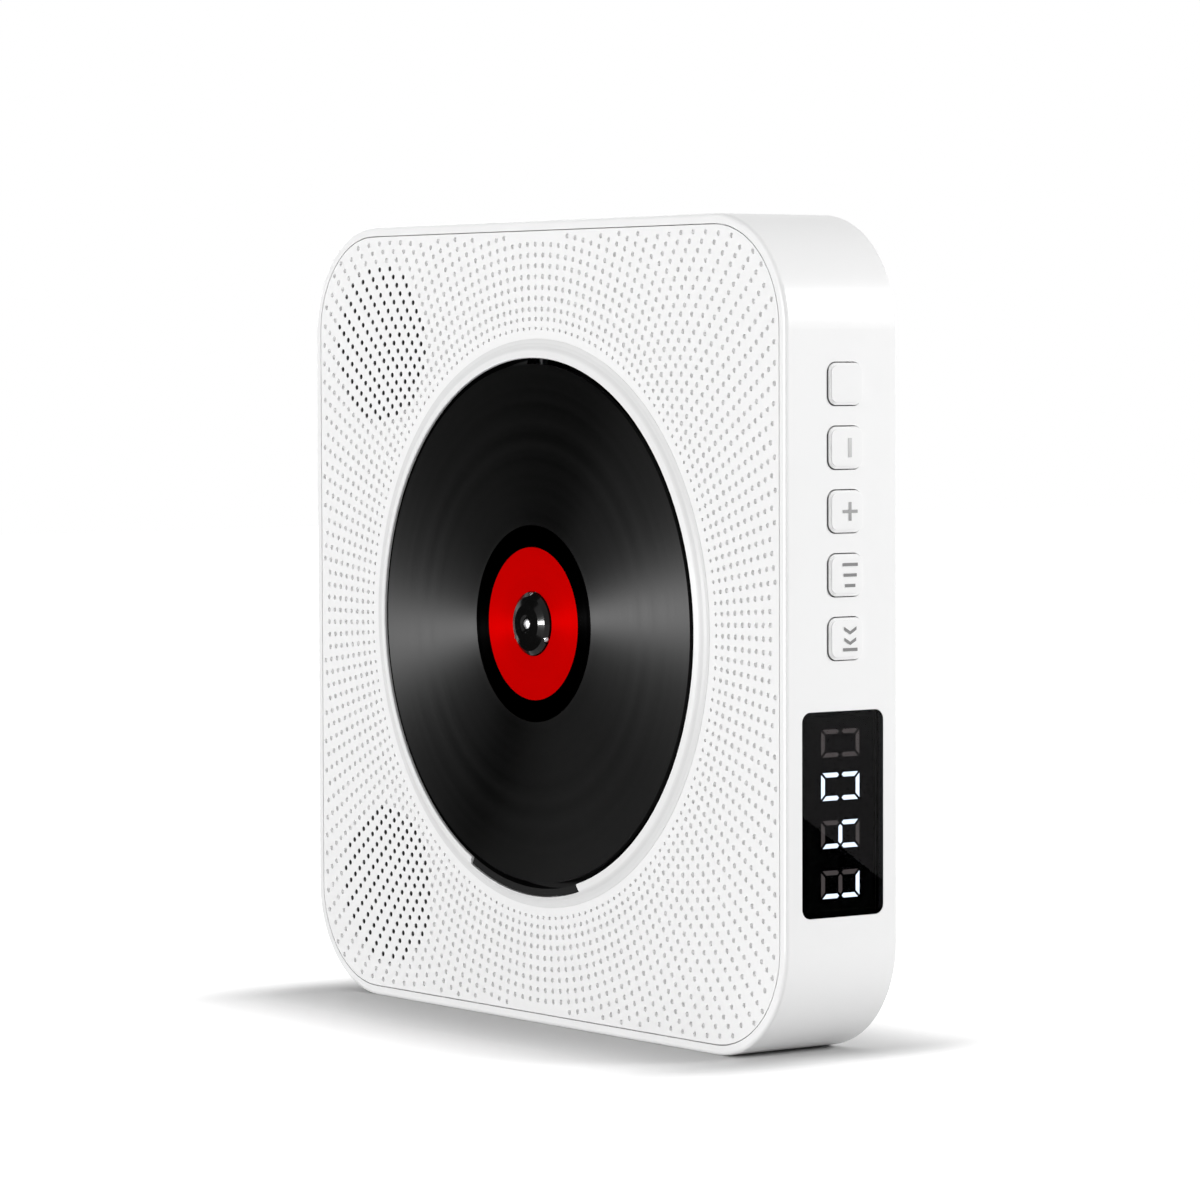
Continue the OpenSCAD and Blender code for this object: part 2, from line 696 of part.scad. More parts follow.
// Hub, platter and stem in one turning; three pockets hold the clamping balls
module turntable_hub() color([0.05, 0.05, 0.06]) standing() difference() {
  turned() polygon([
    [0, y_disc_face - hub_nose + 0.5], [1.6, y_disc_face - hub_nose + 0.5], [2.1, y_disc_face - hub_nose],
    [4.6, y_disc_face - hub_nose + 0.25], [6.3, y_disc_face - hub_nose + 0.9], [hub_r, y_disc_face - 0.45],
    [hub_r, y_platter], [pad_inner_r, y_platter], [pad_inner_r, y_disc_under + pad_t],
    [platter_d / 2, y_disc_under + pad_t], [platter_d / 2, y_disc_under + pad_t + platter_t],
    [stem_r, y_disc_under + pad_t + platter_t], [stem_r, y_stem_end], [0, y_stem_end]
  ]);
  bar_y(shaft_d / 2, y_disc_face, body_d);
  for (a = ball_angles) rotate([0, -a, 0]) translate([0, y_disc_face, 0])
    bar_x(ball_r + run_gap, ball_x - ball_r - 0.7, 6);
}

module platter_pad() color([0.12, 0.12, 0.12]) standing() turned()
  translate([platter_d / 2 - pad_w, y_disc_under]) square([pad_w - 0.3, pad_t]);

module spindle_shaft() color("silver") standing()
  bar_y(shaft_d / 2, y_disc_face, y_chassis_back + motor_t + 0.6 - y_disc_face);

module clamp_ball(a) color([0.3, 0.3, 0.32]) standing() rotate([0, -a, 0])
  translate([ball_x, y_disc_face, 0]) sphere(ball_r);
module clamp_ball_top() clamp_ball(ball_angles[0]);
module clamp_ball_left() clamp_ball(ball_angles[1]);
module clamp_ball_right() clamp_ball(ball_angles[2]);

module disc() color([0.08, 0.08, 0.09]) standing() difference() {
  union() {
    turned() translate([disc_hole_d / 2, y_disc_face]) square([disc_r - disc_hole_d / 2, disc_t]);
    turned() translate([stack_ring_r - 0.3, y_disc_under - 0.1]) square([0.6, 0.25]);
  }
  turned() translate([0, y_disc_face - 1]) square([label_d / 2, 1 + label_sink]);
}

module disc_label() color("red") standing() turned()
  translate([disc_hole_d / 2, y_disc_face]) square([(label_d - disc_hole_d) / 2, label_sink]);

// ---- Speakers ------------------------------------------------------------

module at_speaker(end) standing() translate([speaker_x, 0, end * speaker_z]) children();

// Pressed basket: flat flange, windowed cone and a seat for the magnet
module speaker_frame(end) color("dimgray") at_speaker(end) difference() {
  turned() polygon([
    [cone_r, y_baffle_back], [speaker_r, y_baffle_back], [speaker_r, y_baffle_back + 1],
    [cone_r + 0.3, y_baffle_back + 1.9], [10, y_baffle_back + 9], [10, y_baffle_back + 10.2],
    [4, y_baffle_back + 10.2], [4, y_baffle_back + 9.2], [8.8, y_baffle_back + 9.2],
    [cone_r - 1.2, y_baffle_back + 1.6], [cone_r - 1.2, y_baffle_back + 0.9],
    [cone_r, y_baffle_back + 0.9]
  ]);
  for (a = [0:90:270]) rotate([0, a + 45, 0])
    block([10.6, y_baffle_back + 2.4, -3.5], [speaker_r, y_baffle_back + 8.2, 3.5]);
}
module speaker_frame_upper() speaker_frame(1);
module speaker_frame_lower() speaker_frame(-1);

// Cone with its rolled edge and dust cap, thin all over
module speaker_cone(end) color([0.1, 0.1, 0.1]) at_speaker(end) turned() polygon([
  [0, y_baffle_back + 3.6], [2.4, y_baffle_back + 3.9], [4.6, y_baffle_back + 5.2],
  [cone_r - 4, y_baffle_back + 0.7],
  [cone_r - 3, y_baffle_back + 0.2], [cone_r - 1.6, y_baffle_back - 0.5], [cone_r - 0.6, y_baffle_back - 0.2],
  [cone_r, y_baffle_back + 0.3], [cone_r, y_baffle_back + 0.9], [cone_r - 1.1, y_baffle_back + 0.9],
  [cone_r - 1.7, y_baffle_back + 0.2], [cone_r - 2.8, y_baffle_back + 0.9], [4.9, y_baffle_back + 6],
  [3.4, y_baffle_back + 6], [3.4, y_baffle_back + 8.8], [3, y_baffle_back + 8.8], [3, y_baffle_back + 5.2],
  [2.2, y_baffle_back + 4.6], [0, y_baffle_back + 4.2]
]);
module speaker_cone_upper() speaker_cone(1);
module speaker_cone_lower() speaker_cone(-1);

module speaker_magnet(end) color([0.2, 0.2, 0.22]) at_speaker(end) turned() polygon([
  [0, y_baffle_back + 6.4], [2.6, y_baffle_back + 6.4], [2.6, y_baffle_back + 10.4],
  [9, y_baffle_back + 10.4], [9, y_baffle_back + 10.2], [9.4, y_baffle_back + 10.2],
  [9.4, y_baffle_back + 15], [8.4, y_baffle_back + 16],
  [0, y_baffle_back + 16]
]);
module speaker_magnet_upper() speaker_magnet(1);
module speaker_magnet_lower() speaker_magnet(-1);

// ---- Buttons and display -------------------------------------------------

// A straight bar of a mark or numeral, drawn as [depth, height]
module bar_mark(w, h, y, z) translate([y, z]) square([w, h], center = true);

// An open arrowhead that points down, its tip at height z
module chevron(w, h, z) polygon([
  [-w / 2, z + h], [-w / 2, z + h - mark_line], [0, z], [w / 2, z + h - mark_line], [w / 2, z + h],
  [0, z + mark_line]
]);

module button(i) color("white") standing() translate([0, y_keys, button_top - i * button_pitch]) {
  side_plate(x_inner - 0.2, wall + button_proud - 0.1) rounded(button_w, button_h, key_corner_r);
  side_plate(x_wall + button_proud - 0.4, 0.2) rounded(button_w - 0.5, button_h - 0.5, 1.75);
  side_plate(x_wall + button_proud - 0.3, 0.3) rounded(button_w - 1.2, button_h - 1.2, 1.4);
  side_plate(x_inner - fit_gap - key_flange_t, key_flange_t)
    rounded(button_w + 2 * key_flange, button_h + 2 * key_flange, 2.6);
  side_plate(x_inner - fit_gap - key_flange_t - key_stem, key_stem + 0.1) circle(1.8);
  side_plate(x_wall + button_proud - 0.1, 0.25) translate([mark_back, 0]) children();
}

module button_mode() button(0);
module button_minus() button(1) bar_mark(mark_line + 0.2, 4.2, 0, 0);
module button_plus() button(2) {
  bar_mark(mark_line, 4.1, 0, 0);
  bar_mark(4.1, mark_line, 0, 0);
}
module button_play() button(3) {
  bar_mark(4.2, mark_line, 0, 2.3);
  bar_mark(3.6, mark_line, 0, 0);
  bar_mark(2.8, mark_line, 0, -2.3);
}
module button_next() button(4) {
  chevron(3.4, 1.7, 0.9);
  chevron(3.2, 1.6, -1.4);
  bar_mark(4, mark_line, 0, -2.4);
}

module key_board() color("darkgreen") standing() difference() {
  block([x_key_board - board_t, y_keys - 8, key_low], [x_key_board, y_cover, key_high]);
  for (z = [key_low + 2.5, key_high - 2.5]) translate([0, y_keys, z]) bar_x(1, x_key_board - 3, 6);
}

// Short-travel switches on the key board, one behind each button
module key_switches() color("silver") standing() for (i = [0:4])
  translate([0, y_keys, button_top - i * button_pitch]) {
    side_plate(x_key_board, switch_t) square([5, 5], center = true);
    plunger = x_key_board + switch_t - 0.1;
    stop = x_inner - fit_gap - key_flange_t - key_stem - button_travel - run_gap;
    bar_x(1.4, plunger, stop - plunger);
  }

// Clear window: face, rim and the flange that holds it behind the wall
module display_window() color([0.05, 0.05, 0.06, 0.6]) standing() translate([0, y_window, -window_drop])
  difference() {
    union() {
      side_plate(x_inner - 0.1, wall + 0.1) rounded(window_w, window_h, window_corner_r);
      side_plate(x_inner - window_lip, window_lip)
        rounded(window_w, window_h + 2 * window_flange, window_corner_r);
    }
    block([x_inner - window_lip - 1, window_rim - window_w / 2, window_rim - window_h / 2],
      [x_wall - window_face, window_w / 2 - window_rim, window_h / 2 - window_rim]);
  }

module display_module() color([0.04, 0.04, 0.04]) standing() translate([0, y_window, -window_drop]) {
  x_rear = x_display - display_t;
  block([x_rear, -display_half_w, -display_half_h], [x_display, display_half_w, display_half_h]);
  block([x_rear - board_t, -display_half_w, -display_half_h - 2],
    [x_rear, y_cover - y_window, display_half_h + 2]);
}

// One bar of a numeral, its ends cut to a point; it lies along the height
module digit_stroke(length) polygon([
  [-digit_bar / 2, (digit_bar - length) / 2], [0, -length / 2], [digit_bar / 2, (digit_bar - length) / 2],
  [digit_bar / 2, (length - digit_bar) / 2], [0, length / 2], [-digit_bar / 2, (length - digit_bar) / 2]
]);

// The seven bars of a numeral, turned to read along the body
module digit() {
  across = digit_wide - digit_bar;
  along = (digit_tall - digit_bar) / 2;
  for (y = [-1, 0, 1]) translate([y * along, 0]) digit_stroke(across - digit_space);
  for (y = [-1, 1], z = [-1, 1])
    translate([y * along / 2, z * across / 2]) rotate(90) digit_stroke(along - digit_space);
}

module display_digits() color([0.8, 0.9, 1]) standing() translate([0, y_window, -window_drop])
  side_plate(x_display, 0.2)
    for (i = [-1.5:1:1.5]) translate([0, i * digit_pitch]) digit();

// ---- Electronics ---------------------------------------------------------

module main_board() color("darkgreen") standing() plate(y_main_board, board_t)
  translate([main_board_x, main_board_z]) difference() {
    square([main_board_w, main_board_h], center = true);
    for (x = [-1, 1], z = [-1, 1])
      translate([x * (main_board_w / 2 - board_inset), z * (main_board_h / 2 - board_inset)]) circle(1.2);
  }

module board_chips() color([0.12, 0.12, 0.13]) standing() for (c = chips)
  plate(y_main_board - c[4], c[4]) translate([main_board_x + c[0], main_board_z + c[1]])
    square([c[2], c[3]], center = true);

module battery_cell() color("steelblue") standing() translate([battery_x, 0, battery_z])
  plate(y_cover - battery_t, battery_t) rounded(battery_w, battery_h, 3);

module socket_board() color("darkgreen") standing() difference() {
  block([x_left + wall + 0.5, y_socket_board, -2.5 * socket_pitch],
    [x_left + wall + 20, y_socket_board + socket_board_t, 2.5 * socket_pitch]);
  for (z = socket_posts) translate([socket_post_x, 0, z]) bar_y(1.2, y_socket_board - 1, socket_board_t + 2);
}

// Serial socket: a folded metal sleeve with its contact tongue
module usb_socket() color("silver") standing() translate([x_left, y_sockets, socket_pitch]) {
  difference() {
    union() {
      block([0.6, -usb_half_t, -usb_half_w], [usb_depth, usb_half_t, usb_half_w]);
      block([wall + 0.5, usb_half_t - 0.1, -usb_half_w], [usb_depth, y_socket_board - y_sockets, usb_half_w]);
    }
    block([0, 0.5 - usb_half_t, 0.6 - usb_half_w], [usb_depth - 1.2, usb_half_t - 0.5, usb_half_w - 0.6]);
  }
  block([5.2, 0.3, 1.2 - usb_half_w], [usb_depth - 1, 2.2, usb_half_w - 1.2]);
}

// Sound socket: square body, round nose through the wall and a true bore
module jack(place) translate([x_left, y_sockets, place]) difference() {
  union() {
    block([wall + 0.1, -3.6, -3.6], [wall + jack_depth + 0.5, y_socket_board - y_sockets, 3.6]);
    bar_x(jack_nose_r, 0, wall + 0.3);
  }
  bar_x(jack_d / 2, -1, wall + jack_depth);
}
module headphone_jack() color([0.1, 0.1, 0.1]) standing() jack(-2 * socket_pitch);
module aux_jack() color([0.1, 0.1, 0.1]) standing() jack(-socket_pitch);

// Power socket: round nose, bore and centre pin
module power_socket() color([0.1, 0.1, 0.1]) standing() translate([x_left, y_sockets, 0]) {
  difference() {
    union() {
      block([wall + 0.1, -4.5, -4.5], [wall + power_depth + 2, y_socket_board - y_sockets, 4.5]);
      bar_x(power_nose_r, 0, wall + 0.3);
    }
    bar_x(power_bore_d / 2, -1, wall + power_depth);
  }
  bar_x(0.65, 1, wall + power_depth - 1);
}

module power_switch_body() color("silver") standing()
  translate([x_left, y_sockets, 2 * socket_pitch]) difference() {
  block([wall + 1, -2.2, -5], [wall + 6, y_socket_board - y_sockets, 5]);
  block([wall, -0.9, -1.1 - switch_travel], [wall + 3.5, 0.9, 1.1 + switch_travel]);
}

// Switch knob: a ribbed cap on a short tongue, shown at the low end of its travel
module power_switch_knob() color("white") standing()
  translate([x_left, y_sockets, 2 * socket_pitch - switch_travel]) {
  block([-0.6, -knob_half_t, -knob_half_w], [wall + 0.8, knob_half_t, knob_half_w]);
  for (z = [-1.6, 0, 1.6]) block([-1, -knob_half_t, z - 0.3], [-0.5, knob_half_t, z + 0.3]);
  block([wall + 0.7, -0.8, -1], [wall + 3.2, 0.8, 1]);
}

housing_top();
housing_bottom();
housing_left_upper();
housing_left_lower();
housing_right();
front_grille();
front_baffle();
well_ring();
disc_tray();
back_cover();
case_screws();
mech_chassis();
mech_dampers();
mech_screws();
spindle_motor();
guide_rods();
sled_motor();
speaker_frame_upper();
speaker_frame_lower();
speaker_cone_upper();
speaker_cone_lower();
speaker_magnet_upper();
speaker_magnet_lower();
key_board();
key_switches();
display_window();
display_module();
display_digits();
main_board();
board_chips();
battery_cell();
socket_board();
usb_socket();
headphone_jack();
aux_jack();
power_socket();
power_switch_body();
power_switch_knob();
button_mode();
button_minus();
button_plus();
button_play();
button_next();
turntable_hub();
platter_pad();
spindle_shaft();
clamp_ball_top();
clamp_ball_left();
clamp_ball_right();
disc();
disc_label();
pickup_sled();
pickup_rack();
pickup_lens();
sled_gear();
motor_pinion();
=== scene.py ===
import json
import math

import bpy
import numpy as np
from mathutils import Matrix, Vector


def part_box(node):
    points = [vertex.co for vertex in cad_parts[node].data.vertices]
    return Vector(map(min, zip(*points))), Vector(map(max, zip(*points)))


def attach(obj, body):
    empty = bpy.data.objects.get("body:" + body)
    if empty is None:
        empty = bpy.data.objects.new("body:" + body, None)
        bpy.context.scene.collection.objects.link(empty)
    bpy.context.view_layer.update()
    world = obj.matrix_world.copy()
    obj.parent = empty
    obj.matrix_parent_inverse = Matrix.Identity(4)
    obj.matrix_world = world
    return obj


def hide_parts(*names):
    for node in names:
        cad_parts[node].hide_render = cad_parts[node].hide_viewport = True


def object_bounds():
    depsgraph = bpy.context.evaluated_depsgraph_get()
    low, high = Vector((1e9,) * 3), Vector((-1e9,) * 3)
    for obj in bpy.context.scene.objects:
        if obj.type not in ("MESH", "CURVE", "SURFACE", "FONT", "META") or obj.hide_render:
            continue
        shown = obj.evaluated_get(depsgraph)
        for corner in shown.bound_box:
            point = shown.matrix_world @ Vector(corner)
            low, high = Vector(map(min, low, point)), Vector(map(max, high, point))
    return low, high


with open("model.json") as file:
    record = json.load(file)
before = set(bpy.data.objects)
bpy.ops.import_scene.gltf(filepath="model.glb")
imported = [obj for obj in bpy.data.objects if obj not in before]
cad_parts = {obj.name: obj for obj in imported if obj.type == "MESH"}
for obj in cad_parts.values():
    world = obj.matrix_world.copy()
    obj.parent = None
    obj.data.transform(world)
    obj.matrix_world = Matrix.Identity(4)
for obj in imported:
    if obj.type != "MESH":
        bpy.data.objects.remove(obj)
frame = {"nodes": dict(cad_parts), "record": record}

MM = 0.001
CAD_LOW, CAD_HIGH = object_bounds()
bpy.context.scene.view_settings.view_transform = "Standard"

# ---- Places taken from the frame -------------------------------------------

GRILLE_LOW, GRILLE_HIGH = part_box("front_grille")
DISC_LOW, DISC_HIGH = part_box("disc")
RING_LOW, RING_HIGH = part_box("well_ring")
DIGITS_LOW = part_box("display_digits")[0]
WINDOW_LOW, WINDOW_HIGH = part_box("display_window")
HUB_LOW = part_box("turntable_hub")[0]
BUTTON_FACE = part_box("button_mode")[1].x
WALL_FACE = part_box("housing_right")[1].x
KEYS_LOW, KEYS_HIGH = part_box("button_next")[0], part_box("button_mode")[1]
PLAY_HIGH, MINUS_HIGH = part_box("button_play")[1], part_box("button_minus")[1]
COVER_LOW, COVER_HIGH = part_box("back_cover")
COVER_THICKNESS = 2.2 * MM
COVER_INNER = COVER_HIGH.y - COVER_THICKNESS
AXIS = Vector(((DISC_LOW.x + DISC_HIGH.x) / 2, 0.0, (DISC_LOW.z + DISC_HIGH.z) / 2))
PANEL_FRONT, PANEL_BACK = GRILLE_LOW.y, GRILLE_HIGH.y
RING_RADIUS = (RING_HIGH.x - RING_LOW.x) / 2

# ---- Mesh making -----------------------------------------------------------


def volume(points, triangles):
    """Signed volume: a third of each face's area vector times its place, summed. Positive if faces point out."""
    a, b, c = points[triangles[:, 0]], points[triangles[:, 1]], points[triangles[:, 2]]
    return float(np.einsum("ij,ij->i", a, np.cross(b, c)).sum() / 6)


def mesh_piece(name, points, triangles, body, slot, smooth_angle=35.0):
    """A closed piece from (n, 3) points and (m, 3) point numbers, turned over if its faces point in."""
    if volume(points, triangles) < 0:
        triangles = triangles[:, ::-1]
    mesh = bpy.data.meshes.new(name)
    mesh.vertices.add(len(points))
    mesh.vertices.foreach_set("co", np.asarray(points, dtype=np.float32).ravel())
    mesh.loops.add(len(triangles) * 3)
    mesh.loops.foreach_set("vertex_index", np.asarray(triangles, dtype=np.int32).ravel())
    mesh.polygons.add(len(triangles))
    mesh.polygons.foreach_set("loop_start", np.arange(len(triangles), dtype=np.int32) * 3)
    mesh.polygons.foreach_set("use_smooth", np.ones(len(triangles), dtype=bool))
    mesh.update(calc_edges=True)
    mesh.validate()
    mesh.set_sharp_from_angle(angle=math.radians(smooth_angle))
    piece = bpy.data.objects.new(name, mesh)
    bpy.context.scene.collection.objects.link(piece)
    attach(piece, body)
    return piece


def swept_rings(across, depth, upright, middle_x, middle_z, ends):
    """A closed surface through rings of points, each flat in depth, with a middle point at both ends.

    across and upright hold a row of places for each ring, depth one number for each, and ends the depths of the two
    middle points. Neighbouring points of neighbouring rings make quads, each cut into two triangles. The end rings
    are joined to their middle points by fans.
    """
    rings, sides = across.shape
    ring = np.stack([across, np.broadcast_to(depth[:, None], across.shape), upright], axis=-1).reshape(-1, 3)
    points = np.concatenate([ring, [[middle_x, end, middle_z] for end in ends]])
    i, k = np.meshgrid(np.arange(rings - 1), np.arange(sides), indexing="ij")
    i, k = i.ravel(), k.ravel()
    n = (k + 1) % sides
    a, b, c, d = i * sides + k, i * sides + n, (i + 1) * sides + n, (i + 1) * sides + k
    s = np.arange(sides)
    e = (s + 1) % sides
    last, pole = (rings - 1) * sides, len(ring)
    return points, np.concatenate([
        np.stack([a, b, c], axis=1),
        np.stack([a, c, d], axis=1),
        np.stack([np.full(sides, pole), e, s], axis=1),
        np.stack([np.full(sides, pole + 1), last + s, last + e], axis=1),
    ])


def rounded_square_radius(angle, half, corner):
    """Distance from the centre to a square's outline with round corners, in the direction given.

    The flat side is at half / max(|cos|, |sin|). Past the corner's tangent points the distance is the far root
    of the corner circle: b + sqrt(b^2 - 2c^2 + corner^2), where c is the circle's centre and b = c(|cos| + |sin|).
    """
    cos, sin = np.abs(np.cos(angle)), np.abs(np.sin(angle))
    side = half / np.maximum(cos, sin)
    centre = half - corner
    in_corner = (side * np.minimum(cos, sin)) > centre
    b = centre * (cos + sin)
    root = b + np.sqrt(np.maximum(0.0, b * b - 2 * centre * centre + corner * corner))
    return np.where(in_corner, root, side)


# ---- Front panel with its holes --------------------------------------------

# Holes stand on rings about the disc's axis and on spokes, here columns, through it
HOLE_COLUMNS = 180
CELL_STEPS = 3
HOLE_SIDES = 4 * CELL_STEPS
INNER_RINGS = np.array([68.2, 70.4, 72.65]) * MM
RING_PITCH = 2.486 * MM
HOLE_RADIUS_INNER = 0.43 * MM
HOLE_RADIUS_OUTER = 0.63 * MM
# Distance from the first ring over which the holes grow to their full size
HOLE_GROWTH = 4.0 * MM
HOLE_MARGIN = 1.0 * MM
DIMPLE = 0.7 * MM
# Places of the speakers in the front's plane, from the disc's axis
SPEAKER_PLACES = np.array([[-64.6, 65.0], [-63.0, -65.8]]) * MM
SPEAKER_REACH = 18.2 * MM
PANEL_CORNER = 22.8 * MM
PANEL_GROWTH = 0.25 * MM
PANEL_CLEARANCE = 0.02 * MM
SAME_PLACE = 1e-4 * MM


def perforated_panel():
    """The front panel, as a polar grid about the disc's axis.

    A cell is two degrees wide and reaches halfway to the rings beside its own. A cell that holds a hole joins its
    twelve border points to the twelve corners of the hole. Radii past the outline are brought back onto it, which
    empties the cells there.
    The back is the same sheet, with holes over the two speakers only. Its open edges are joined straight to the
    front's. A hole elsewhere is a dimple: its edge is carried back a little and closed by a flat floor.
    """
    half = (GRILLE_HIGH.x - GRILLE_LOW.x) / 2 + PANEL_GROWTH
    furthest = half * math.sqrt(2)
    extra = np.arange(1, math.ceil((furthest - INNER_RINGS[-1]) / RING_PITCH) + 1)
    rings = np.concatenate([INNER_RINGS, INNER_RINGS[-1] + RING_PITCH * extra])
    between = (rings[1:] + rings[:-1]) / 2
    borders = np.concatenate([[RING_RADIUS + PANEL_CLEARANCE], between, [rings[-1] + RING_PITCH / 2]])
    steps = np.arange(CELL_STEPS) / CELL_STEPS
    radii = (borders[:-1, None] + np.diff(borders)[:, None] * steps).ravel()
    radii = np.append(radii, borders[-1])
    columns = HOLE_COLUMNS * CELL_STEPS
    angle = math.pi / 2 + 2 * math.pi * (np.arange(columns) / columns - 0.5 / HOLE_COLUMNS)
    reach = rounded_square_radius(angle, half, PANEL_CORNER + PANEL_GROWTH)
    r = np.minimum(radii[None, :], reach[:, None])
    grid = np.stack([r * np.cos(angle)[:, None], r * np.sin(angle)[:, None]], axis=-1)
    rows = len(radii)
    number = np.arange(columns * rows).reshape(columns, rows)

    # Which cells hold a hole, and which of those holes go through
    hole_angle = math.pi / 2 + 2 * math.pi * np.arange(HOLE_COLUMNS) / HOLE_COLUMNS
    hx = rings[None, :] * np.cos(hole_angle)[:, None]
    hz = rings[None, :] * np.sin(hole_angle)[:, None]
    corner_at = half - PANEL_CORNER
    past = np.hypot(np.maximum(0, np.abs(hx) - corner_at), np.maximum(0, np.abs(hz) - corner_at))
    held = past < PANEL_CORNER - HOLE_MARGIN
    near = np.hypot(hx[..., None] - SPEAKER_PLACES[:, 0], hz[..., None] - SPEAKER_PLACES[:, 1]).min(axis=-1)
    through = held & (near < SPEAKER_REACH)

    # Every small quad of the grid as two triangles, with the cell that it lies in
    i, m = np.meshgrid(np.arange(columns), np.arange(rows - 1), indexing="ij")
    a, b = number[i, m], number[i, m + 1]
    c, d = number[(i + 1) % columns, m + 1], number[(i + 1) % columns, m]
    quads = np.stack([np.stack([a, b, c], axis=-1), np.stack([a, c, d], axis=-1)], axis=2)
    cell = (i // CELL_STEPS, m // CELL_STEPS)

    # Cells with a hole: the border is walked from the inner corner and joined to the hole, point by point
    j, k = np.nonzero(held)
    t = np.arange(CELL_STEPS)
    zero, full = np.zeros(CELL_STEPS, dtype=int), np.full(CELL_STEPS, CELL_STEPS)
    walk_i = np.concatenate([zero, t, full, CELL_STEPS - t])
    walk_m = np.concatenate([t, full, CELL_STEPS - t, zero])
    border = number[(j[:, None] * CELL_STEPS + walk_i) % columns, k[:, None] * CELL_STEPS + walk_m]
    grow = np.clip((rings - rings[0]) / HOLE_GROWTH, 0, 1)
    hole_r = HOLE_RADIUS_INNER + (HOLE_RADIUS_OUTER - HOLE_RADIUS_INNER) * grow
    turn = math.pi * 1.25 - 2 * math.pi * np.arange(HOLE_SIDES) / HOLE_SIDES
    out, across = np.sin(turn), np.cos(turn)
    ca, sa = np.cos(hole_angle[j])[:, None], np.sin(hole_angle[j])[:, None]
    ring_at, size = rings[k][:, None], hole_r[k][:, None]
    along_r = ring_at + size * out
    along_t = size * across
    holes = np.stack([along_r * ca - along_t * sa, along_r * sa + along_t * ca], axis=-1)
    rim = columns * rows + np.arange(len(j) * HOLE_SIDES).reshape(len(j), HOLE_SIDES)
    nb, nr = np.roll(border, -1, axis=1), np.roll(rim, -1, axis=1)
    pierced = np.stack([np.stack([border, nb, nr], axis=-1), np.stack([border, nr, rim], axis=-1)], axis=2)

    # Points brought onto the outline share one place, so they become one point
    flat = np.concatenate([grid.reshape(-1, 2), holes.reshape(-1, 2)])
    rounded = np.round(flat / SAME_PLACE).astype(np.int64)
    _, keep, joined = np.unique(rounded, axis=0, return_index=True, return_inverse=True)
    flat, joined = flat[keep], joined.reshape(-1)

    def sheet(open_cells):
        """The triangles of one side: pierced cells where those are open, and plain quads elsewhere."""
        plain, holed = quads[~open_cells[cell]], pierced[open_cells[j, k]]
        faces = joined[np.concatenate([plain.reshape(-1, 3), holed.reshape(-1, 3)])]
        return faces[(faces != np.roll(faces, -1, axis=1)).all(axis=1)]

    # Walls from the back's open edges straight to the front, and the dimples' walls and floors
    front, back = sheet(held), sheet(through)
    e = np.concatenate([back[:, [0, 1]], back[:, [1, 2]], back[:, [2, 0]]])
    _, where, count = np.unique(np.sort(e, axis=1), axis=0, return_index=True, return_counts=True)
    p, q = e[where[count == 1]].T
    n = len(flat)
    walls = [np.stack([q, p, p + n], axis=1), np.stack([q, p + n, q + n], axis=1)]
    dimple = joined[rim[~through[j, k]]]
    p, q = np.roll(dimple, -1, axis=1).ravel(), dimple.ravel()
    walls += [np.stack([q, p, p + 2 * n], axis=1), np.stack([q, p + 2 * n, q + 2 * n], axis=1)]
    fan = np.arange(1, HOLE_SIDES - 1)
    hub = np.broadcast_to(dimple[:, :1], (len(dimple), len(fan)))
    floor = np.stack([hub, dimple[:, fan], dimple[:, fan + 1]], axis=-1)
    triangles = np.concatenate([front, back[:, ::-1] + n, *walls, floor.reshape(-1, 3) + 2 * n])
    depth = np.repeat([PANEL_FRONT, PANEL_BACK, PANEL_FRONT + DIMPLE], n)
    points = np.stack([np.tile(flat[:, 0], 3) + AXIS.x, depth, np.tile(flat[:, 1], 3) + AXIS.z], axis=1)
    used, inverse = np.unique(triangles, return_inverse=True)
    points, triangles = points[used], inverse.reshape(-1, 3)
    return points, triangles, len(j)


panel_points, panel_triangles, hole_count = perforated_panel()
front_panel = mesh_piece("front_panel", panel_points, panel_triangles, "case", "grille_white")
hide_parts("front_grille")
print("front panel:", hole_count, "holes,", len(panel_triangles), "triangles")

# ---- Numerals of the display ------------------------------------------------

NUMERAL_TALL = 10.7 * MM
NUMERAL_WIDE = 6.1 * MM
BAR_WIDTH = 1.0 * MM
BAR_GAP = 0.42 * MM
BAR_THICKNESS = 0.08 * MM
NUMERAL_HEIGHTS = np.array([70.0, 60.5, 50.0, 39.0]) * MM
NUMERAL_SHIFT = 0.4 * MM
NUMERAL_MIDDLE = (WINDOW_LOW.y + WINDOW_HIGH.y) / 2 + NUMERAL_SHIFT
# Bars of each numeral in the order top, upper right, lower right, bottom, lower left, upper left, middle
NONE, ALL, NOUGHT = [0] * 7, [1] * 7, [1, 1, 1, 1, 1, 1, 0]
FOUR, SEVEN = [0, 1, 1, 0, 0, 1, 1], [1, 1, 1, 0, 0, 0, 0]
BARS_SHOWN = np.array([NOUGHT, NOUGHT, ALL, ALL], dtype=bool)
BARS_LIT = np.array([NONE, NOUGHT, FOUR, SEVEN], dtype=bool)


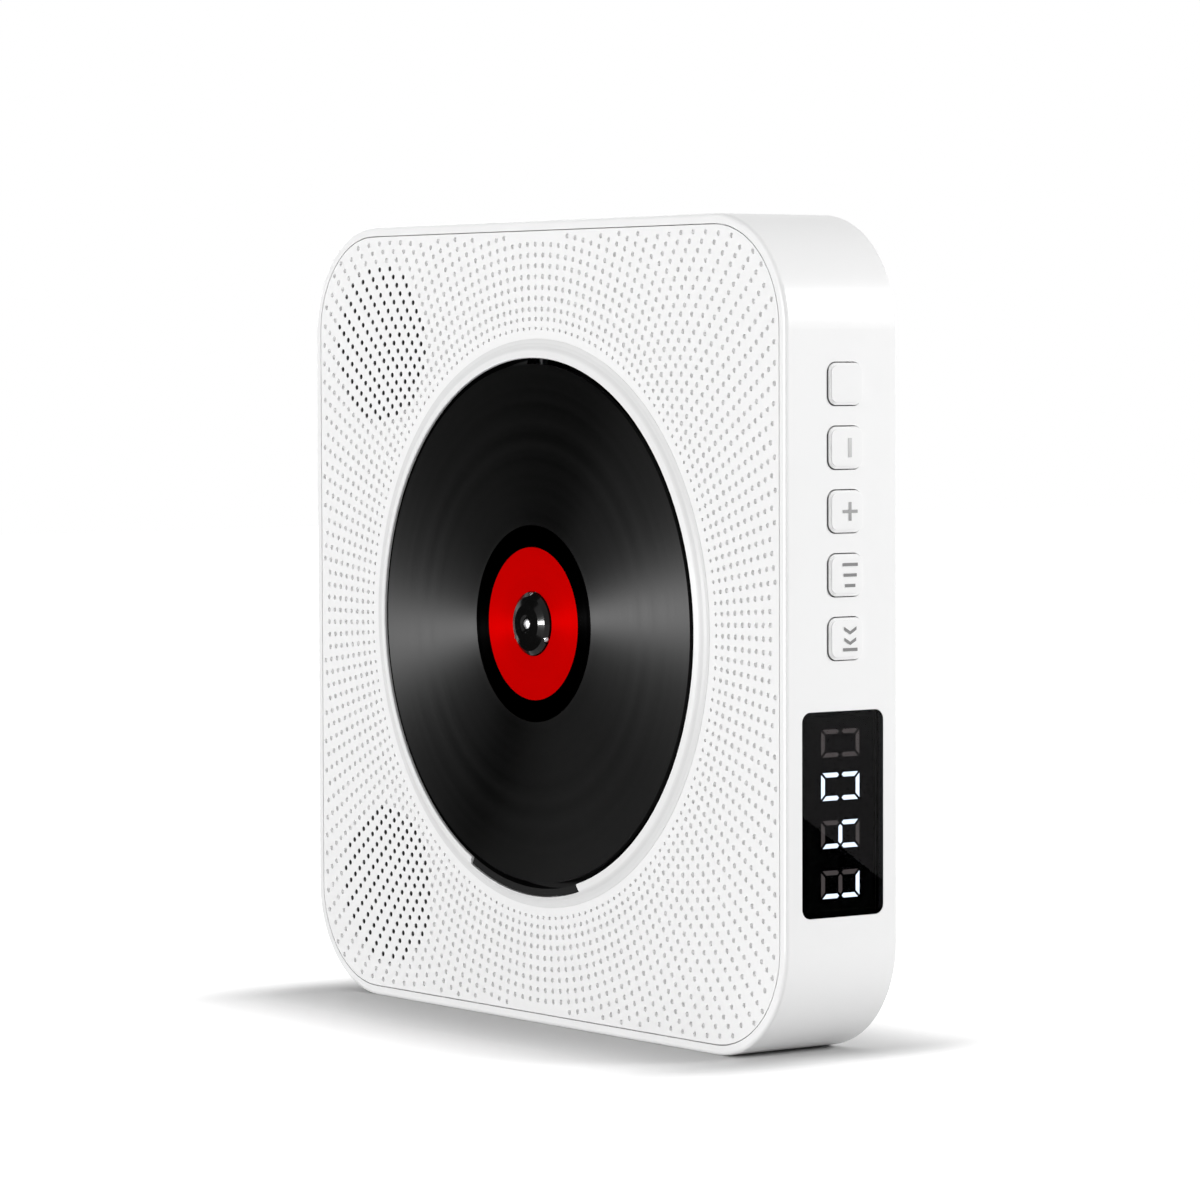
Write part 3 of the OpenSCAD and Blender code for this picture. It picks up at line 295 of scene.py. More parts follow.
def bar_outlines():
    """The seven bars of a numeral as outlines of six points, (across, up), about its middle.

    An end bar is a strip whose inner side is shorter by the bar's width at each end. An upright bar is cut the same
    way at its outer end and to a point at the middle line. The middle bar is cut to a point at both ends. The first
    point is one from which a fan of triangles has no flat triangle, and a mirrored outline keeps its first point.
    """
    w, h, t, g = NUMERAL_WIDE / 2, NUMERAL_TALL / 2, BAR_WIDTH, BAR_GAP
    inner, point = w - t, w - t / 2
    top = np.array([[0, h], [w - g, h], [inner - g, h - t], [0, h - t], [g - inner, h - t], [g - w, h]])
    right = np.array([
        [point, h - t / 2 - g], [w, h - g], [w, t / 2 + g], [point, g], [inner, t / 2 + g], [inner, h - t - g]])
    end, tip = inner - g, point - g
    middle = np.array([[-tip, 0], [-end, t / 2], [end, t / 2], [tip, 0], [end, -t / 2], [-end, -t / 2]])
    across, up, mirrored = np.array([-1, 1]), np.array([1, -1]), [0, 5, 4, 3, 2, 1]
    return np.stack([
        top, right, (right * up)[mirrored], (top * up)[mirrored], right * -1, (right * across)[mirrored], middle])


def numerals():
    """Every bar shown, as a prism with six sides: its outline at two places in x, the bar's thickness apart.

    A numeral is read along the body: its up is the depth, away from the front, and its right is down the body.
    """
    outline = np.broadcast_to(bar_outlines(), (4, 7, 6, 2))
    place = np.stack([outline[..., 1] + NUMERAL_MIDDLE, NUMERAL_HEIGHTS[:, None, None] - outline[..., 0]], axis=-1)
    place, lit = place[BARS_SHOWN], BARS_LIT[BARS_SHOWN]
    count = len(place)
    x = np.array([DIGITS_LOW.x, DIGITS_LOW.x + BAR_THICKNESS])
    points = np.concatenate([
        np.broadcast_to(x[None, :, None, None], (count, 2, 6, 1)),
        np.broadcast_to(place[:, None], (count, 2, 6, 2)),
    ], axis=-1).reshape(-1, 3)
    k = np.arange(1, 5)
    caps = np.stack([np.zeros(4, dtype=int), k, k + 1], axis=1)
    s = np.arange(6)
    n = (s + 1) % 6
    sides = np.concatenate([np.stack([s, n, n + 6], axis=1), np.stack([s, n + 6, s + 6], axis=1)])
    bar = np.concatenate([caps[:, ::-1], caps + 6, sides])
    triangles = (bar[None] + 12 * np.arange(count)[:, None, None]).reshape(-1, 3)
    return points, triangles, np.repeat(lit.astype(np.float32), 12)


numeral_points, numeral_triangles, numeral_lit = numerals()
numeral_bars = mesh_piece("numerals", numeral_points, numeral_triangles, "case", "digit_light")
numeral_bars.data.attributes.new("lit", "FLOAT", "POINT").data.foreach_set("value", numeral_lit)
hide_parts("display_digits")

# ---- Tip of the spindle, in the dimple of the hub ---------------------------

TIP_RADIUS = 1.15 * MM
TIP_SIDES = 48
TIP_STEPS = 9
TIP_SKIRT = 0.1 * MM
# How far the tip's crown and foot lie behind the hub's front and the dimple's floor
TIP_SUNK = 0.04 * MM
TIP_SEATED = 0.05 * MM
DIMPLE_DEPTH = 0.5 * MM


def spindle_tip():
    """A domed pin: a quarter ellipse, then a straight skirt, turned about the disc's axis, with a point at each pole.

    At the angle t, from 0 to 90 degrees, the radius is R sin t and the depth behind the crown is D (1 - cos t).
    """
    t = np.linspace(0, math.pi / 2, TIP_STEPS)[1:]
    front = HUB_LOW.y + TIP_SUNK
    floor = HUB_LOW.y + DIMPLE_DEPTH + TIP_SEATED
    radius = np.append(TIP_RADIUS * np.sin(t), TIP_RADIUS)
    dome = floor - TIP_SKIRT - front
    depth = np.append(front + dome * (1 - np.cos(t)), floor)
    turn = 2 * math.pi * np.arange(TIP_SIDES) / TIP_SIDES
    across, upright = AXIS.x + radius[:, None] * np.cos(turn), AXIS.z + radius[:, None] * np.sin(turn)
    return swept_rings(across, depth, upright, AXIS.x, AXIS.z, (front, floor))


tip = mesh_piece("spindle_tip", *spindle_tip(), "turntable", "rod_steel")

# ---- Pockets behind the two keyholes -----------------------------------------

POCKET_HALF_WIDE = 6.2 * MM
POCKET_HALF_TALL = 9.6 * MM
POCKET_WALL = 0.5 * MM
POCKET_FLOOR = 9.2 * MM
POCKET_SIDES = 64
POCKET_POWER = 0.5
KEYHOLE_PLACES = [(-30.0 * MM, 149.8 * MM), (30.0 * MM, 149.8 * MM)]


def keyhole_pocket(middle_x, middle_z):
    """An open cup against the cover's inner face: a long round outline, swept from its floor up, over, and back down.

    The outline at an inset d is (w - d)|cos t|^0.5 by (h - d)|sin t|^0.5 with the signs of cos and sin, half sizes w
    and h. The sweep runs floor middle, outer floor edge, outer lip, inner lip, inner floor edge, inner floor middle.
    """
    inset = np.array([0.0, 0.0, POCKET_WALL, POCKET_WALL])
    depth = np.array([POCKET_FLOOR, COVER_INNER, COVER_INNER, POCKET_FLOOR + POCKET_WALL])
    t = 2 * math.pi * np.arange(POCKET_SIDES) / POCKET_SIDES
    cos, sin = (np.sign(part) * np.abs(part) ** POCKET_POWER for part in (np.cos(t), np.sin(t)))
    across = middle_x + (POCKET_HALF_WIDE - inset)[:, None] * cos
    upright = middle_z + (POCKET_HALF_TALL - inset)[:, None] * sin
    return swept_rings(across, depth, upright, middle_x, middle_z, (depth[0], depth[-1]))


pockets = [
    mesh_piece("keyhole_pocket_" + side, *keyhole_pocket(*place), "case", "tray_black")
    for side, place in zip(("left", "right"), KEYHOLE_PLACES)
]

# ---- Shader building blocks -------------------------------------------------


def add(tree, kind, links=None, **values):
    """A node of that kind: values set its own settings or, where it has an input of that name, the input."""
    made = tree.nodes.new(kind)
    for key, value in values.items():
        if hasattr(made, key) and key not in made.inputs:
            setattr(made, key, value)
        else:
            made.inputs[key.replace("_", " ")].default_value = value
    for socket, source in (links or {}).items():
        tree.links.new(source, made.inputs[socket])
    return made


def new_group(name, inputs, outputs):
    """An empty node group with named sockets: inputs are (name, type, default), outputs are (name, type)."""
    tree = bpy.data.node_groups.new(name, "ShaderNodeTree")
    for label, kind, default in inputs:
        socket = tree.interface.new_socket(label, in_out="INPUT", socket_type=kind)
        socket.default_value = default
    for label, kind in outputs:
        tree.interface.new_socket(label, in_out="OUTPUT", socket_type=kind)
    return tree, tree.nodes.new("NodeGroupInput"), tree.nodes.new("NodeGroupOutput")


def give(tree, result, **sources):
    """Joins each source to the input of that name, where an underscore stands for a space."""
    for label, source in sources.items():
        tree.links.new(source, result.inputs[label.replace("_", " ")])


FLOAT, COLOUR, VECTOR = "NodeSocketFloat", "NodeSocketColor", "NodeSocketVector"


def maths(tree, operation, a, b=None):
    """A Math node: a and b are sockets or plain numbers."""
    made = tree.nodes.new("ShaderNodeMath")
    made.operation = operation
    for number, value in enumerate((a, b)):
        if value is None:
            continue
        if isinstance(value, (int, float)):
            made.inputs[number].default_value = value
        else:
            tree.links.new(value, made.inputs[number])
    return made.outputs[0]


def make_moulding_group():
    """Moulded plastic or rubber: broad faint clouding of tone and gloss, with a fine grain that stands in relief."""
    tree, given, result = new_group(
        "moulding",
        [("Colour", COLOUR, (0.8, 0.8, 0.8, 1)), ("Tone Spread", FLOAT, 0.02), ("Roughness", FLOAT, 0.3),
         ("Roughness Spread", FLOAT, 0.05), ("Grain Scale", FLOAT, 2500.0), ("Grain Height", FLOAT, 0.00001)],
        [("Colour", COLOUR), ("Roughness", FLOAT), ("Normal", VECTOR)],
    )
    place = tree.nodes.new("ShaderNodeTexCoord").outputs["Object"]
    cloud = add(tree, "ShaderNodeTexNoise", {"Vector": place}, Scale=38.0, Detail=3.0)
    grain = add(tree, "ShaderNodeTexNoise", {"Vector": place, "Scale": given.outputs["Grain Scale"]}, Detail=2.0)
    swing = maths(tree, "SUBTRACT", cloud.outputs["Fac"], 0.5)
    tone = maths(tree, "ADD", maths(tree, "MULTIPLY", swing, given.outputs["Tone Spread"]), 1.0)
    coloured = add(tree, "ShaderNodeVectorMath", {0: given.outputs["Colour"], "Scale": tone}, operation="SCALE")
    gloss = maths(tree, "MULTIPLY", swing, given.outputs["Roughness Spread"])
    relief = add(tree, "ShaderNodeBump", {"Height": grain.outputs["Fac"], "Distance": given.outputs["Grain Height"]})
    rough = maths(tree, "ADD", given.outputs["Roughness"], gloss)
    give(tree, result, Colour=coloured.outputs[0], Roughness=rough, Normal=relief.outputs[0])
    return tree


def make_drawn_group():
    """Rolled or ground metal: long thin streaks along one axis, in tone, gloss and relief."""
    tree, given, result = new_group(
        "drawn_metal",
        [("Colour", COLOUR, (0.6, 0.6, 0.6, 1)), ("Stretch", VECTOR, (1, 1, 1)), ("Roughness", FLOAT, 0.3),
         ("Roughness Spread", FLOAT, 0.2), ("Streak Scale", FLOAT, 900.0), ("Streak Height", FLOAT, 0.000006)],
        [("Colour", COLOUR), ("Roughness", FLOAT), ("Normal", VECTOR)],
    )
    place = tree.nodes.new("ShaderNodeTexCoord").outputs["Object"]
    drawn = add(tree, "ShaderNodeVectorMath", {0: place, 1: given.outputs["Stretch"]}, operation="MULTIPLY")
    sources = {"Vector": drawn.outputs[0], "Scale": given.outputs["Streak Scale"]}
    streak = add(tree, "ShaderNodeTexNoise", sources, Detail=4.0)
    swing = maths(tree, "SUBTRACT", streak.outputs["Fac"], 0.5)
    tone = maths(tree, "ADD", maths(tree, "MULTIPLY", swing, 0.25), 1.0)
    coloured = add(tree, "ShaderNodeVectorMath", {0: given.outputs["Colour"], "Scale": tone}, operation="SCALE")
    gloss = maths(tree, "MULTIPLY", swing, given.outputs["Roughness Spread"])
    relief = add(tree, "ShaderNodeBump", {"Height": streak.outputs["Fac"], "Distance": given.outputs["Streak Height"]})
    rough = maths(tree, "ADD", given.outputs["Roughness"], gloss)
    give(tree, result, Colour=coloured.outputs[0], Roughness=rough, Normal=relief.outputs[0])
    return tree


def make_rings_group():
    """Rings about the disc's axis: distance from the axis drives fine grooves and broader, fainter bands."""
    tree, given, result = new_group(
        "axis_rings",
        [("Axis Place", VECTOR, (0, 0, 0)), ("Fine Scale", FLOAT, 4200.0), ("Band Scale", FLOAT, 330.0),
         ("Groove Height", FLOAT, 0.00001)],
        [("Radius", FLOAT), ("Band", FLOAT), ("Normal", VECTOR)],
    )
    place = tree.nodes.new("ShaderNodeTexCoord").outputs["Object"]
    offset = add(tree, "ShaderNodeVectorMath", {0: place, 1: given.outputs["Axis Place"]}, operation="SUBTRACT")
    flat = add(tree, "ShaderNodeVectorMath", {0: offset.outputs[0]}, operation="MULTIPLY")
    flat.inputs[1].default_value = (1, 0, 1)
    radius = add(tree, "ShaderNodeVectorMath", {0: flat.outputs[0]}, operation="LENGTH").outputs["Value"]
    fine = add(tree, "ShaderNodeTexNoise", {"W": maths(tree, "MULTIPLY", radius, given.outputs["Fine Scale"])},
               noise_dimensions="1D", Scale=1.0, Detail=3.0)
    band = add(tree, "ShaderNodeTexNoise", {"W": maths(tree, "MULTIPLY", radius, given.outputs["Band Scale"])},
               noise_dimensions="1D", Scale=1.0, Detail=2.0)
    relief = add(tree, "ShaderNodeBump", {"Height": fine.outputs["Fac"], "Distance": given.outputs["Groove Height"]})
    give(tree, result, Radius=radius, Band=band.outputs["Fac"], Normal=relief.outputs[0])
    return tree


MOULDING = make_moulding_group()
DRAWN = make_drawn_group()
RINGS = make_rings_group()


def blank_material(name):
    """A material with its node tree and shader."""
    made = bpy.data.materials.new(name)
    made.use_nodes = True
    return made, made.node_tree, made.node_tree.nodes["Principled BSDF"]


def surface(tree, shader, part):
    """The shader's colour, gloss and relief, taken from a group's outputs."""
    give(tree, shader, Base_Color=part.outputs["Colour"], Roughness=part.outputs["Roughness"],
         Normal=part.outputs["Normal"])


def grouped(group, name, shader_values, group_values):
    """A material whose colour, gloss and relief come from one of the groups above."""
    made, tree, shader = blank_material(name)
    part = tree.nodes.new("ShaderNodeGroup")
    part.node_tree = group
    for key, value in group_values.items():
        part.inputs[key].default_value = value
    surface(tree, shader, part)
    for key, value in shader_values.items():
        shader.inputs[key].default_value = value
    return made


def moulded(name, colour, roughness, tone=0.03, spread=0.08, scale=2500.0, height=0.008, **shader):
    """Moulded plastic or rubber; height is the grain's relief in millimetres."""
    return grouped(MOULDING, name, shader, {
        "Colour": (*colour, 1), "Tone Spread": tone, "Roughness": roughness, "Roughness Spread": spread,
        "Grain Scale": scale, "Grain Height": height * MM})


def metal(name, colour, roughness, stretch=(1, 1, 1), spread=0.2, scale=900.0, height=0.004, **shader):
    """Bare or plated metal; stretch is small along the axis that the streaks follow."""
    return grouped(DRAWN, name, {"Metallic": 1.0, **shader}, {
        "Colour": (*colour, 1), "Stretch": stretch, "Roughness": roughness, "Roughness Spread": spread,
        "Streak Scale": scale, "Streak Height": height * MM})


# Edge of the disc's smooth middle, and of the hollow outside the ring's lip, with half the width of each change
MIRROR_RADIUS = 22.8 * MM
MIRROR_EDGE = 0.15 * MM
COVE_RADIUS = 63.3 * MM
COVE_EDGE = 0.3 * MM
QUARTER_TURN = 0.25


def axis_rings(tree, groove_height):
    """The ring pattern about the disc's axis, as a node of that material's tree."""
    rings = tree.nodes.new("ShaderNodeGroup")
    rings.node_tree = RINGS
    rings.inputs["Axis Place"].default_value = AXIS
    rings.inputs["Groove Height"].default_value = groove_height
    return rings


def ramp(tree, value, start, end, low, high):
    """A Map Range node's result: low before start, high after end."""
    made = add(tree, "ShaderNodeMapRange", {"Value": value})
    for name, number in (("From Min", start), ("From Max", end), ("To Min", low), ("To Max", high)):
        made.inputs[name].default_value = number
    return made.outputs["Result"]


def grey(tree, value):
    """A colour with the same value in all three channels."""
    made = tree.nodes.new("ShaderNodeCombineColor")
    for channel in ("Red", "Green", "Blue"):
        tree.links.new(value, made.inputs[channel])
    return made.outputs[0]


def along_rings(tree, shader, strength):
    """Turns the shader's stretched gloss so that it follows rings about the disc's axis."""
    around = add(tree, "ShaderNodeTangent", direction_type="RADIAL", axis="Y")
    tree.links.new(around.outputs[0], shader.inputs["Tangent"])
    shader.inputs["Anisotropic"].default_value = strength
    shader.inputs["Anisotropic Rotation"].default_value = QUARTER_TURN


def disc_material():
    """Black disc: grooved, with the long sheen that rings give, and a smooth band next to the label."""
    made, tree, shader = blank_material("disc_black")
    rings = axis_rings(tree, groove_height=0.008 * MM)
    band = rings.outputs["Band"]
    radius = rings.outputs["Radius"]
    grooved = ramp(tree, radius, MIRROR_RADIUS - MIRROR_EDGE, MIRROR_RADIUS + MIRROR_EDGE, 0.0, 1.0)
    tone = maths(tree, "MULTIPLY", maths(tree, "ADD", maths(tree, "MULTIPLY", band, 0.004), 0.0015), grooved)
    rough = maths(tree, "ADD", ramp(tree, grooved, 0.0, 1.0, 0.06, 0.40), maths(tree, "MULTIPLY", band, 0.07))
    give(tree, shader, Base_Color=grey(tree, tone), Roughness=rough, Normal=rings.outputs["Normal"])
    along_rings(tree, shader, 0.95)
    shader.inputs["Specular IOR Level"].default_value = 0.18
    return made


def label_material():
    """Red print on the disc, with a faint red sheen that follows the disc's rings."""
    made, tree, shader = blank_material("label_red")
    rings = axis_rings(tree, groove_height=0.003 * MM)
    band = rings.outputs["Band"]
    colour = tree.nodes.new("ShaderNodeCombineColor")
    give(tree, colour, Red=maths(tree, "ADD", maths(tree, "MULTIPLY", band, 0.05), 0.52))
    colour.inputs["Green"].default_value = 0.0
    colour.inputs["Blue"].default_value = 0.0
    rough = maths(tree, "ADD", maths(tree, "MULTIPLY", band, 0.08), 0.36)
    give(tree, shader, Base_Color=colour.outputs[0], Roughness=rough, Normal=rings.outputs["Normal"])
    along_rings(tree, shader, 0.85)
    shader.inputs["Metallic"].default_value = 0.06
    shader.inputs["Specular IOR Level"].default_value = 0.0
    return made


def placed_tone(name, mask_of, tone_on, tone_off, roughness, specular):
    """Moulded white whose tone goes from tone_off to tone_on where the mask, built in its own tree, is 1."""
    made, tree, shader = blank_material(name)
    part = tree.nodes.new("ShaderNodeGroup")
    part.node_tree = MOULDING
    part.inputs["Tone Spread"].default_value = 0.02
    part.inputs["Roughness"].default_value = roughness
    part.inputs["Roughness Spread"].default_value = 0.06
    part.inputs["Grain Height"].default_value = 0.006 * MM
    give(tree, part, Colour=grey(tree, ramp(tree, mask_of(tree), 0.0, 1.0, tone_off, tone_on)))
    surface(tree, shader, part)
    shader.inputs["Specular IOR Level"].default_value = specular
    return made


def painted_cove_shade_mask(tree):
    """1 in the hollow outside the raised lip of the well ring, where the ring is painted darker as shade."""
    radius = axis_rings(tree, groove_height=0.001 * MM).outputs["Radius"]
    return ramp(tree, radius, COVE_RADIUS - COVE_EDGE, COVE_RADIUS + COVE_EDGE, 0.0, 1.0)


def parts_of(tree, kind="Object"):
    """The X, Y and Z of a point's place or, for kind "Normal", of the direction that its surface faces."""
    parts = tree.nodes.new("ShaderNodeSeparateXYZ")
    tree.links.new(tree.nodes.new("ShaderNodeTexCoord").outputs[kind], parts.inputs[0])
    return parts.outputs


# Depth and width of the painted shade in the gaps round the keys, and how far the back cover's painted shade keeps
# from its outline
GAP_DEPTH = 4.0 * MM
GAP_REACH = 0.4 * MM
GAP_SUNK = 0.10 * MM
INSIDE_SHADE_INSET = 10.0 * MM
# Where a mask changes, as distances in x or y from a key's face, the wall's, the panel's front or the cover's back
MARK_BAND = (0.03 * MM, 0.10 * MM)
LOW_EDGE_BAND = (-0.45 * MM, -0.05 * MM)
WALL_BAND = (0.1 * MM, 0.3 * MM)
HOLE_SHADE_BAND = (0.03 * MM, 0.25 * MM)
INSIDE_SHADE_BAND = (-0.3 * MM, -0.1 * MM)
# The same past the circle over a speaker, and for the direction that a surface faces
HOLE_SHADE_RIM = (0.6 * MM, 0.9 * MM)
TURNED_AWAY = (0.2, 0.6)
TURNED_DOWN = (-0.9, -0.4)
HIGH_MARKS = 0.3


def across_band(tree, value, face, band, low, high):
    """A ramp that starts and ends at the band's two distances from a face."""
    return ramp(tree, value, face + band[0], face + band[1], low, high)


def within(tree, value, low, high, edge=0.05 * MM):
    """1 between low and high, with an edge that fades over a short distance outside them."""
    rising = ramp(tree, value, low - edge, low, 0.0, 1.0)
    return maths(tree, "MULTIPLY", rising, ramp(tree, value, high, high + edge, 1.0, 0.0))


def painted_key_shade_mask(tree):
    """1 on a key's raised marks, fainter higher up, and on its lower edge and its sunk sides: all painted shade."""
    place, facing = parts_of(tree), parts_of(tree, "Normal")
    raised = across_band(tree, place["X"], BUTTON_FACE, MARK_BAND, 0.0, 1.0)
    marks = maths(tree, "MULTIPLY", raised, ramp(tree, place["Z"], PLAY_HIGH.z, MINUS_HIGH.z, 1.0, HIGH_MARKS))
    sunk = across_band(tree, place["X"], WALL_FACE, WALL_BAND, 1.0, 0.0)
    turned = ramp(tree, maths(tree, "MAXIMUM", facing["Y"], facing["Z"]), *TURNED_AWAY, 1.0, 0.0)
    low_edge = across_band(tree, place["X"], BUTTON_FACE, LOW_EDGE_BAND, 1.0, 0.0)
    below = maths(tree, "MULTIPLY", low_edge, ramp(tree, facing["Z"], *TURNED_DOWN, 1.0, 0.0))
    return maths(tree, "MAXIMUM", marks, maths(tree, "MAXIMUM", maths(tree, "MULTIPLY", sunk, turned), below))


def painted_gap_shade_mask(tree):
    """1 in the front half of the wall's openings round the keys, below the wall's outer face: painted shade in the
    gaps.
    """
    place = parts_of(tree)
    deep = within(tree, place["X"], WALL_FACE - GAP_DEPTH, WALL_FACE - GAP_SUNK)
    along = within(tree, place["Y"], KEYS_LOW.y - GAP_REACH, (KEYS_LOW.y + KEYS_HIGH.y) / 2)
    upright = within(tree, place["Z"], KEYS_LOW.z - GAP_REACH, KEYS_HIGH.z + GAP_REACH)
    return maths(tree, "MULTIPLY", deep, maths(tree, "MULTIPLY", along, upright))


def painted_hole_shade_mask(tree):
    """1 behind the panel's front face over a speaker: the holes' walls there are painted dark as shade."""
    place = parts_of(tree)
    found = None
    for x, z in SPEAKER_PLACES.tolist():
        across = maths(tree, "POWER", maths(tree, "SUBTRACT", place["X"], x + AXIS.x), 2.0)
        upright = maths(tree, "POWER", maths(tree, "SUBTRACT", place["Z"], z + AXIS.z), 2.0)
        distance = maths(tree, "SQRT", maths(tree, "ADD", across, upright))
        circle = across_band(tree, distance, SPEAKER_REACH, HOLE_SHADE_RIM, 1.0, 0.0)
        found = circle if found is None else maths(tree, "MAXIMUM", found, circle)
    inside = across_band(tree, place["Y"], PANEL_FRONT, HOLE_SHADE_BAND, 0.0, 1.0)
    return maths(tree, "MULTIPLY", found, inside)


def painted_inside_shade_mask(tree):
    """1 on the inner side of the back cover, painted black: painted shade inside the case, seen through the tray's
    slot.
    """
    place = parts_of(tree)
    across = within(tree, place["X"], COVER_LOW.x + INSIDE_SHADE_INSET, COVER_HIGH.x - INSIDE_SHADE_INSET)
    upright = within(tree, place["Z"], COVER_LOW.z + INSIDE_SHADE_INSET, COVER_HIGH.z - INSIDE_SHADE_INSET)
    inner = across_band(tree, place["Y"], COVER_HIGH.y, INSIDE_SHADE_BAND, 1.0, 0.0)
    return maths(tree, "MULTIPLY", inner, maths(tree, "MULTIPLY", across, upright))


def window_material():
    """Smoked clear window: dark tinted body with a polished face and very faint wiping marks."""
    return grouped(MOULDING, "window_smoke", {"Transmission Weight": 1.0, "IOR": 1.13, "Metallic": 0.0}, {
        "Colour": (0.10, 0.10, 0.11, 1), "Tone Spread": 0.02, "Roughness": 0.0, "Roughness Spread": 0.004,
        "Grain Height": 0.0})


LIT_GLOW = (0.80, 0.93, 1.0, 1)
# The unlit bars glow faintly: painted light in place of the light that falls on them through the window
UNLIT_PAINTED_GLOW = (0.050, 0.044, 0.040, 1)
GLOW_STRENGTH = 13.0


def digit_material():
    """Display bars: an attribute tells lit from unlit, each glow uneven along the bar; unlit bars' glow is painted
    light.
    """
    made, tree, shader = blank_material("digit_light")
    lit = tree.nodes.new("ShaderNodeAttribute")
    lit.attribute_name = "lit"
    place = tree.nodes.new("ShaderNodeTexCoord").outputs["Object"]
    cloud = add(tree, "ShaderNodeTexNoise", {"Vector": place}, Scale=420.0, Detail=2.0)
    level = maths(tree, "ADD", maths(tree, "MULTIPLY", cloud.outputs["Fac"], 0.3), 0.8)
    glow = add(tree, "ShaderNodeMix", data_type="RGBA")  # inputs 0, 6 and 7 and output 2 are the ones for colours
    tree.links.new(lit.outputs["Fac"], glow.inputs[0])
    glow.inputs[6].default_value = UNLIT_PAINTED_GLOW
    glow.inputs[7].default_value = LIT_GLOW
    uneven = add(tree, "ShaderNodeVectorMath", {0: glow.outputs[2], "Scale": level}, operation="SCALE")
    rough = maths(tree, "MULTIPLY", cloud.outputs["Fac"], 0.8)
    give(tree, shader, Emission_Color=uneven.outputs[0], Roughness=rough)
    shader.inputs["Base Color"].default_value = (0.02, 0.02, 0.02, 1)
    shader.inputs["Emission Strength"].default_value = GLOW_STRENGTH
    return made


def dull(level):
    """The shader's setting for how much a plain surface mirrors, where that is below its usual 0.5."""
    return {"Specular IOR Level": level}


# After each name come the colour and the roughness, and for metal the stretch of its streaks
MATERIALS = {
    # The masked whites are darker where painted shade stands: key gaps, speaker holes, the ring's hollow, key marks
    # and edges, the cover's inside
    "shell_white": placed_tone("shell_white", painted_gap_shade_mask, tone_on=0.12, tone_off=0.91, roughness=0.30, specular=0.4),
    "grille_white": placed_tone(
        "grille_white", painted_hole_shade_mask, tone_on=0.10, tone_off=0.91, roughness=0.34, specular=0.1),
    "ring_white": placed_tone("ring_white", painted_cove_shade_mask, tone_on=0.76, tone_off=0.86, roughness=0.34, specular=0.1),
    "button_white": placed_tone("button_white", painted_key_shade_mask, tone_on=0.22, tone_off=0.91, roughness=0.26, specular=0.4),
    "knob_white": moulded("knob_white", (0.86, 0.86, 0.86), 0.32),
    "baffle_white": moulded("baffle_white", (0.84, 0.84, 0.84), 0.6),
    "cover_white": placed_tone("cover_white", painted_inside_shade_mask, tone_on=0.006, tone_off=0.88, roughness=0.5, specular=0.4),
    "tray_black": moulded("tray_black", (0.004, 0.004, 0.004), 0.6, scale=1800.0, height=0.03, **dull(0.1)),
    "screw_steel": metal("screw_steel", (0.62, 0.62, 0.64), 0.28),
    "chassis_steel": metal("chassis_steel", (0.16, 0.16, 0.17), 0.45, (0.05, 1, 1)),
    "damper_rubber": moulded("damper_rubber", (0.03, 0.03, 0.03), 0.8, height=0.02),
    "motor_steel": metal("motor_steel", (0.66, 0.66, 0.67), 0.25, (1, 0.1, 1)),
    "rod_steel": metal("rod_steel", (0.80, 0.80, 0.81), 0.38, (1, 1, 0.02)),
    "basket_steel": moulded("basket_steel", (0.05, 0.05, 0.05), 0.4, Metallic=0.3),
    "cone_black": moulded("cone_black", (0.02, 0.02, 0.02), 0.85, tone=0.2, scale=900.0, height=0.06),
    "magnet_ferrite": moulded("magnet_ferrite", (0.05, 0.05, 0.055), 0.6, tone=0.15, height=0.03),
    "board_green": moulded("board_green", (0.02, 0.14, 0.07), 0.35, tone=0.2),
    "switch_metal": metal("switch_metal", (0.65, 0.65, 0.66), 0.3),
    "window_smoke": window_material(),
    "module_black": moulded("module_black", (0.003, 0.003, 0.003), 0.6, **dull(0.0)),
    "digit_light": digit_material(),
    "chip_black": moulded("chip_black", (0.02, 0.02, 0.022), 0.55, height=0.02),
    "cell_wrap": moulded("cell_wrap", (0.07, 0.22, 0.45), 0.22, tone=0.06),
    "socket_metal": metal("socket_metal", (0.70, 0.70, 0.71), 0.28, (0.05, 1, 1)),
    "socket_black": moulded("socket_black", (0.02, 0.02, 0.02), 0.4),
    "hub_black": moulded("hub_black", (0.004, 0.004, 0.004), 0.14, height=0.001, **dull(0.15)),
    "pad_rubber": moulded("pad_rubber", (0.02, 0.02, 0.02), 0.8, height=0.02),
    "ball_steel": metal("ball_steel", (0.30, 0.30, 0.31), 0.12, height=0.0005),
    "disc_black": disc_material(),
    "label_red": label_material(),
    "sled_black": moulded("sled_black", (0.03, 0.03, 0.034), 0.45),
    "gear_nylon": moulded("gear_nylon", (0.80, 0.76, 0.66), 0.4, tone=0.06),
    "lens_plastic": moulded("lens_plastic", (0.05, 0.07, 0.20), 0.08, height=0.0005),
    "pinion_brass": metal("pinion_brass", (0.72, 0.55, 0.22), 0.25),
}


def dress(piece, slot):
    """Gives a piece the finish of a slot, in each of its material slots."""
    if not piece.material_slots:
        piece.data.materials.append(MATERIALS[slot])
    for held in piece.material_slots:
        held.material = MATERIALS[slot]


for row in frame["record"]["subparts"]:
    dress(frame["nodes"][row["node"]], row["material_slot"])
dress(front_panel, "grille_white")
dress(numeral_bars, "digit_light")
dress(tip, "rod_steel")
for pocket in pockets:
    dress(pocket, "tray_black")

# ---- Floor, world and lamps -------------------------------------------------

FLOOR_SIZE = 6.0
FLOOR_TONE = 0.80
# A darker floor tone near the foot, over a short reach: a painted contact shadow
PAINTED_SHADOW_TONE = 0.62
PAINTED_SHADOW_REACH = 30 * MM
